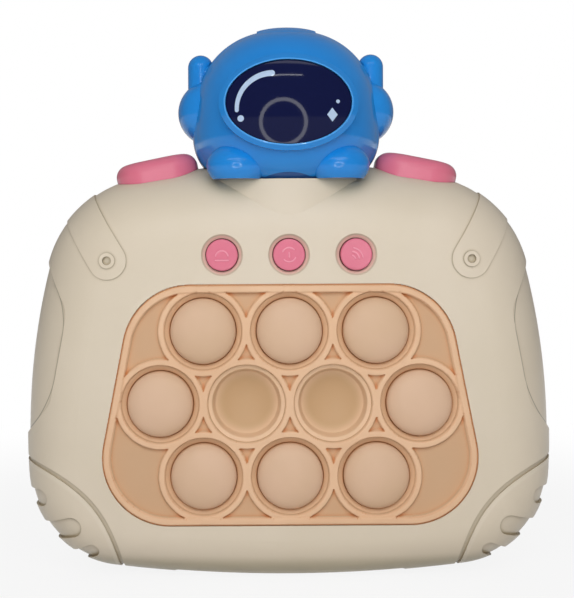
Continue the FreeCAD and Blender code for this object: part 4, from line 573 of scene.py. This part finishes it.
# A flat grid in x and z, snapped to the edges, with fore = max(floor + ring rise, floor + rim rise)
def makePad(size, centres):
    reach = size["ledgeWidth"] + size["cell"]
    across = np.arange(-size["bottomHalf"] - reach, size["bottomHalf"] + reach, size["cell"])
    upward = np.arange(size["bottom"] - reach, size["top"] + reach, size["cell"])
    x, z = np.meshgrid(across, upward)
    edge = size["round"]
    near = size["cell"] * 0.5
    rim, outward = outlineDistance(x, z, size)
    x, z, rim = snap(x, z, rim, outward, (0.0, -edge, edge - size["rim"], -size["rim"]), near)
    ring, away = nearestRing(x, z, centres)
    levels = (size["hole"], size["ringInner"], size["ringInner"] + edge,
              size["ringOuter"] - edge, size["ringOuter"])
    x, z, ring = snap(x, z, ring, away, levels, near)
    rim, outward = outlineDistance(x, z, size)
    floor = np.where(ring < size["ringInner"] + edge / 2, size["seat"], size["floor"])
    ringRise = step(ring, size["ringInner"], size["ringInner"] + edge) * (1 - step(
        ring, size["ringOuter"] - edge, size["ringOuter"]))
    rimRise = step(rim, -size["rim"], edge - size["rim"])
    fore = np.maximum(floor + (size["ringTop"] - floor) * ringRise,
                      floor + (size["rimTop"] - floor) * rimRise)
    drop = step(rim, -edge, 0.0)
    fore = fore * (1 - drop) + size["ledge"] * drop
    points = np.stack([x, -fore, z], -1)
    keep = (ring > size["hole"] - weldGap / mm) & (rim < size["ledgeWidth"])
    piece = gridPiece("bubble_pad_skin", points, "pad_peach", "housing", keep=keep)
    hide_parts("bubble_pad")


makePad(padSize, centres)
print("pad ready")

# Button signs: low ridges, each an arc (centre, radius, first and last turn) or a stroke (two ends)
signSize = {"level": 92.8, "face": 21.68, "rise": 0.2, "halfWidth": 0.3, "steps": 24, "rows": 7,
            "endPower": 10}
buttonSigns = {
    "power_button": (-19.0, (("arc", (0.0, -0.6), 1.8, 0, 180), ("stroke", (-2.2, -1.5), (2.2, -1.5)))),
    "mode_button": (0.0, (("arc", (0.0, 0.0), 2.0, 35, 165), ("arc", (0.0, 0.0), 2.0, 215, 345),
                          ("stroke", (0.0, 0.9), (0.0, -0.9)))),
    "sound_button": (19.0, (("arc", (-1.4, -1.4), 1.1, 0, 90), ("arc", (-1.4, -1.4), 2.2, 0, 90),
                            ("arc", (-1.4, -1.4), 3.3, 5, 85))),
}


# Centre + radius * (cos t, sin t) along an arc, first + t * (second - first) along a stroke
def signPath(sign, steps):
    share = np.linspace(0, 1, steps)[:, None]
    if sign[0] == "stroke":
        return np.array(sign[1]) + share * np.subtract(sign[2], sign[1])
    turn = np.radians(sign[3] + share * (sign[4] - sign[3]))
    return np.array(sign[1]) + sign[2] * np.hstack([np.cos(turn), np.sin(turn)])


# Across each path the height is rise * (1 - t^2)^0.5, and the width tapers off at both ends
def makeSigns(size, signs):
    for name, (across, strokes) in signs.items():
        for i, sign in enumerate(strokes):
            path = signPath(sign, size["steps"])
            along = np.gradient(path, axis=0)
            along /= np.hypot(along[:, 0], along[:, 1])[:, None]
            share = np.linspace(-1, 1, size["steps"])
            taper = (1 - share ** size["endPower"]) ** 0.5
            side = np.linspace(-1, 1, size["rows"])[:, None]
            offset = side * size["halfWidth"] * taper
            x = across + path[:, 0] - offset * along[:, 1]
            z = size["level"] + path[:, 1] + offset * along[:, 0]
            fore = size["face"] + size["rise"] * (1 - side ** 2) ** 0.5 * taper
            gridPiece("%s_sign_%d" % (name, i + 1), np.stack([x, -fore, z], -1), "button_pink", name)


makeSigns(signSize, buttonSigns)
print("signs ready")

# Camera at the photograph's angle; place in millimetres, roll in degrees
cameraView = {"place": (-11.5, -350.0, 96.0), "lens": 70.09, "shift": (0.0647, -0.0926), "roll": 0.35}


def makeCamera(view):
    data = bpy.data.cameras.new("camera")
    data.lens = view["lens"]
    data.shift_x, data.shift_y = view["shift"]
    camera = bpy.data.objects.new("camera", data)
    camera.location = Vector(view["place"]) * mm
    camera.rotation_euler = (math.pi / 2, math.radians(view["roll"]), 0)
    bpy.context.scene.collection.objects.link(camera)
    bpy.context.scene.camera = camera


# Area lamps: a bar above the camera and a small one for the visor's gloss, soft ones before and behind
lamps = {
    "bar_lamp": {"place": (-14, -520, 480), "aim": (0, 0, 90), "size": (700, 40),
                 "power": 0.4, "shines": True},
    "visor_lamp": {"place": (10, -522, 364), "aim": (0, 0, 130), "size": (190, 8),
                   "power": 0.1, "shines": True},
    "fill_lamp": {"place": (-11, -360, 240), "aim": (0, 0, 85), "size": (300, 180),
                  "power": 0.56, "shines": False},
    "rear_lamp": {"place": (0, 480, 110), "aim": (0, 0, 85), "size": (400, 300),
                  "power": 0.8, "shines": False},
}


def makeLamp(name, lamp):
    data = bpy.data.lights.new(name, "AREA")
    data.shape = "RECTANGLE"
    data.size, data.size_y = [length * mm for length in lamp["size"]]
    data.energy = lamp["power"]
    light = bpy.data.objects.new(name, data)
    light.location = Vector(lamp["place"]) * mm
    light.rotation_euler = (Vector(lamp["aim"]) - Vector(lamp["place"])).to_track_quat("-Z", "Y").to_euler()
    light.visible_glossy = lamp["shines"]
    bpy.context.scene.collection.objects.link(light)


# A glowing ring round the camera, which shows only in the gloss
ringLamp = {"centre": (-10.0, -345.0, 98.0), "inner": 77.0, "outer": 91.0, "strength": 11.0, "turns": 64}


# Centre + radius * (cos t, 0, sin t) at the inner and the outer radius
def makeRingLamp(lamp):
    turn = np.arange(lamp["turns"]) / lamp["turns"] * 2 * np.pi
    radius = np.array([lamp["inner"], lamp["outer"]])[:, None]
    points = np.stack([lamp["centre"][0] + radius * np.cos(turn), lamp["centre"][1] + 0 * radius * turn,
                       lamp["centre"][2] + radius * np.sin(turn)], -1) * mm
    index = np.arange(2 * lamp["turns"]).reshape(2, -1)
    index = np.hstack([index, index[:, :1]])
    quads = np.stack([index[:-1, :-1], index[1:, :-1], index[1:, 1:], index[:-1, 1:]], -1).reshape(-1, 4)
    mesh = bpy.data.meshes.new("ring_lamp")
    mesh.from_pydata(points.reshape(-1, 3).tolist(), [], quads.tolist())
    material = bpy.data.materials.new("ring_lamp")
    tree = Tree(material)
    glow = tree.add("ShaderNodeEmission", None, {"Strength": lamp["strength"]})
    tree.add("ShaderNodeOutputMaterial", None, {"Surface": glow})
    mesh.materials.append(material)
    ring = bpy.data.objects.new("ring_lamp", mesh)
    ring.visible_camera = False
    bpy.context.scene.collection.objects.link(ring)


# The floor is pale for the light, and white to the camera and in reflections but for the object's shadow
floorSize = {"reach": 3000, "near": 110, "far": 300, "white": 0.88, "pale": 0.6}
skyLevel = 0.31  # the world's light on the object; the camera sees white


def makeFloor(size):
    reach = size["reach"] * mm
    mesh = bpy.data.meshes.new("floor")
    mesh.from_pydata([(-reach, -reach, 0), (reach, -reach, 0), (reach, reach, 0), (-reach, reach, 0)], [],
                     [(0, 1, 2, 3)])
    material = bpy.data.materials.new("floor")
    tree = Tree(material)
    distance = tree.add("ShaderNodeVectorMath", {"operation": "LENGTH"}, [tree.place()], "Value")
    share = tree.ramp(distance, size["near"] * mm, size["far"] * mm) * (1 - size["white"]) + size["white"]
    pale = tree.add("ShaderNodeBsdfDiffuse", None, {"Color": (*[size["pale"]] * 3, 1)})
    white = tree.add("ShaderNodeEmission", None, {"Strength": 1.0})
    surface = tree.add("ShaderNodeMixShader", None, {0: tree.seen() * share, 1: pale, 2: white})
    tree.add("ShaderNodeOutputMaterial", None, {"Surface": surface})
    mesh.materials.append(material)
    floor = bpy.data.objects.new("floor", mesh)
    bpy.context.scene.collection.objects.link(floor)


def makeWorld(level):
    world = bpy.context.scene.world or bpy.data.worlds.new("studio")
    bpy.context.scene.world = world
    sky = Tree(world)
    camera = sky.add("ShaderNodeLightPath", output="Is Camera Ray")
    sky.add("ShaderNodeOutputWorld", None, {"Surface": sky.add("ShaderNodeBackground", None, {
        "Color": (1, 1, 1, 1), "Strength": camera * (1 - level) + level})})


makeCamera(cameraView)
for name, lamp in lamps.items():
    makeLamp(name, lamp)
makeRingLamp(ringLamp)
makeFloor(floorSize)
makeWorld(skyLevel)
bpy.context.scene.view_settings.view_transform = "Standard"
print("studio ready")
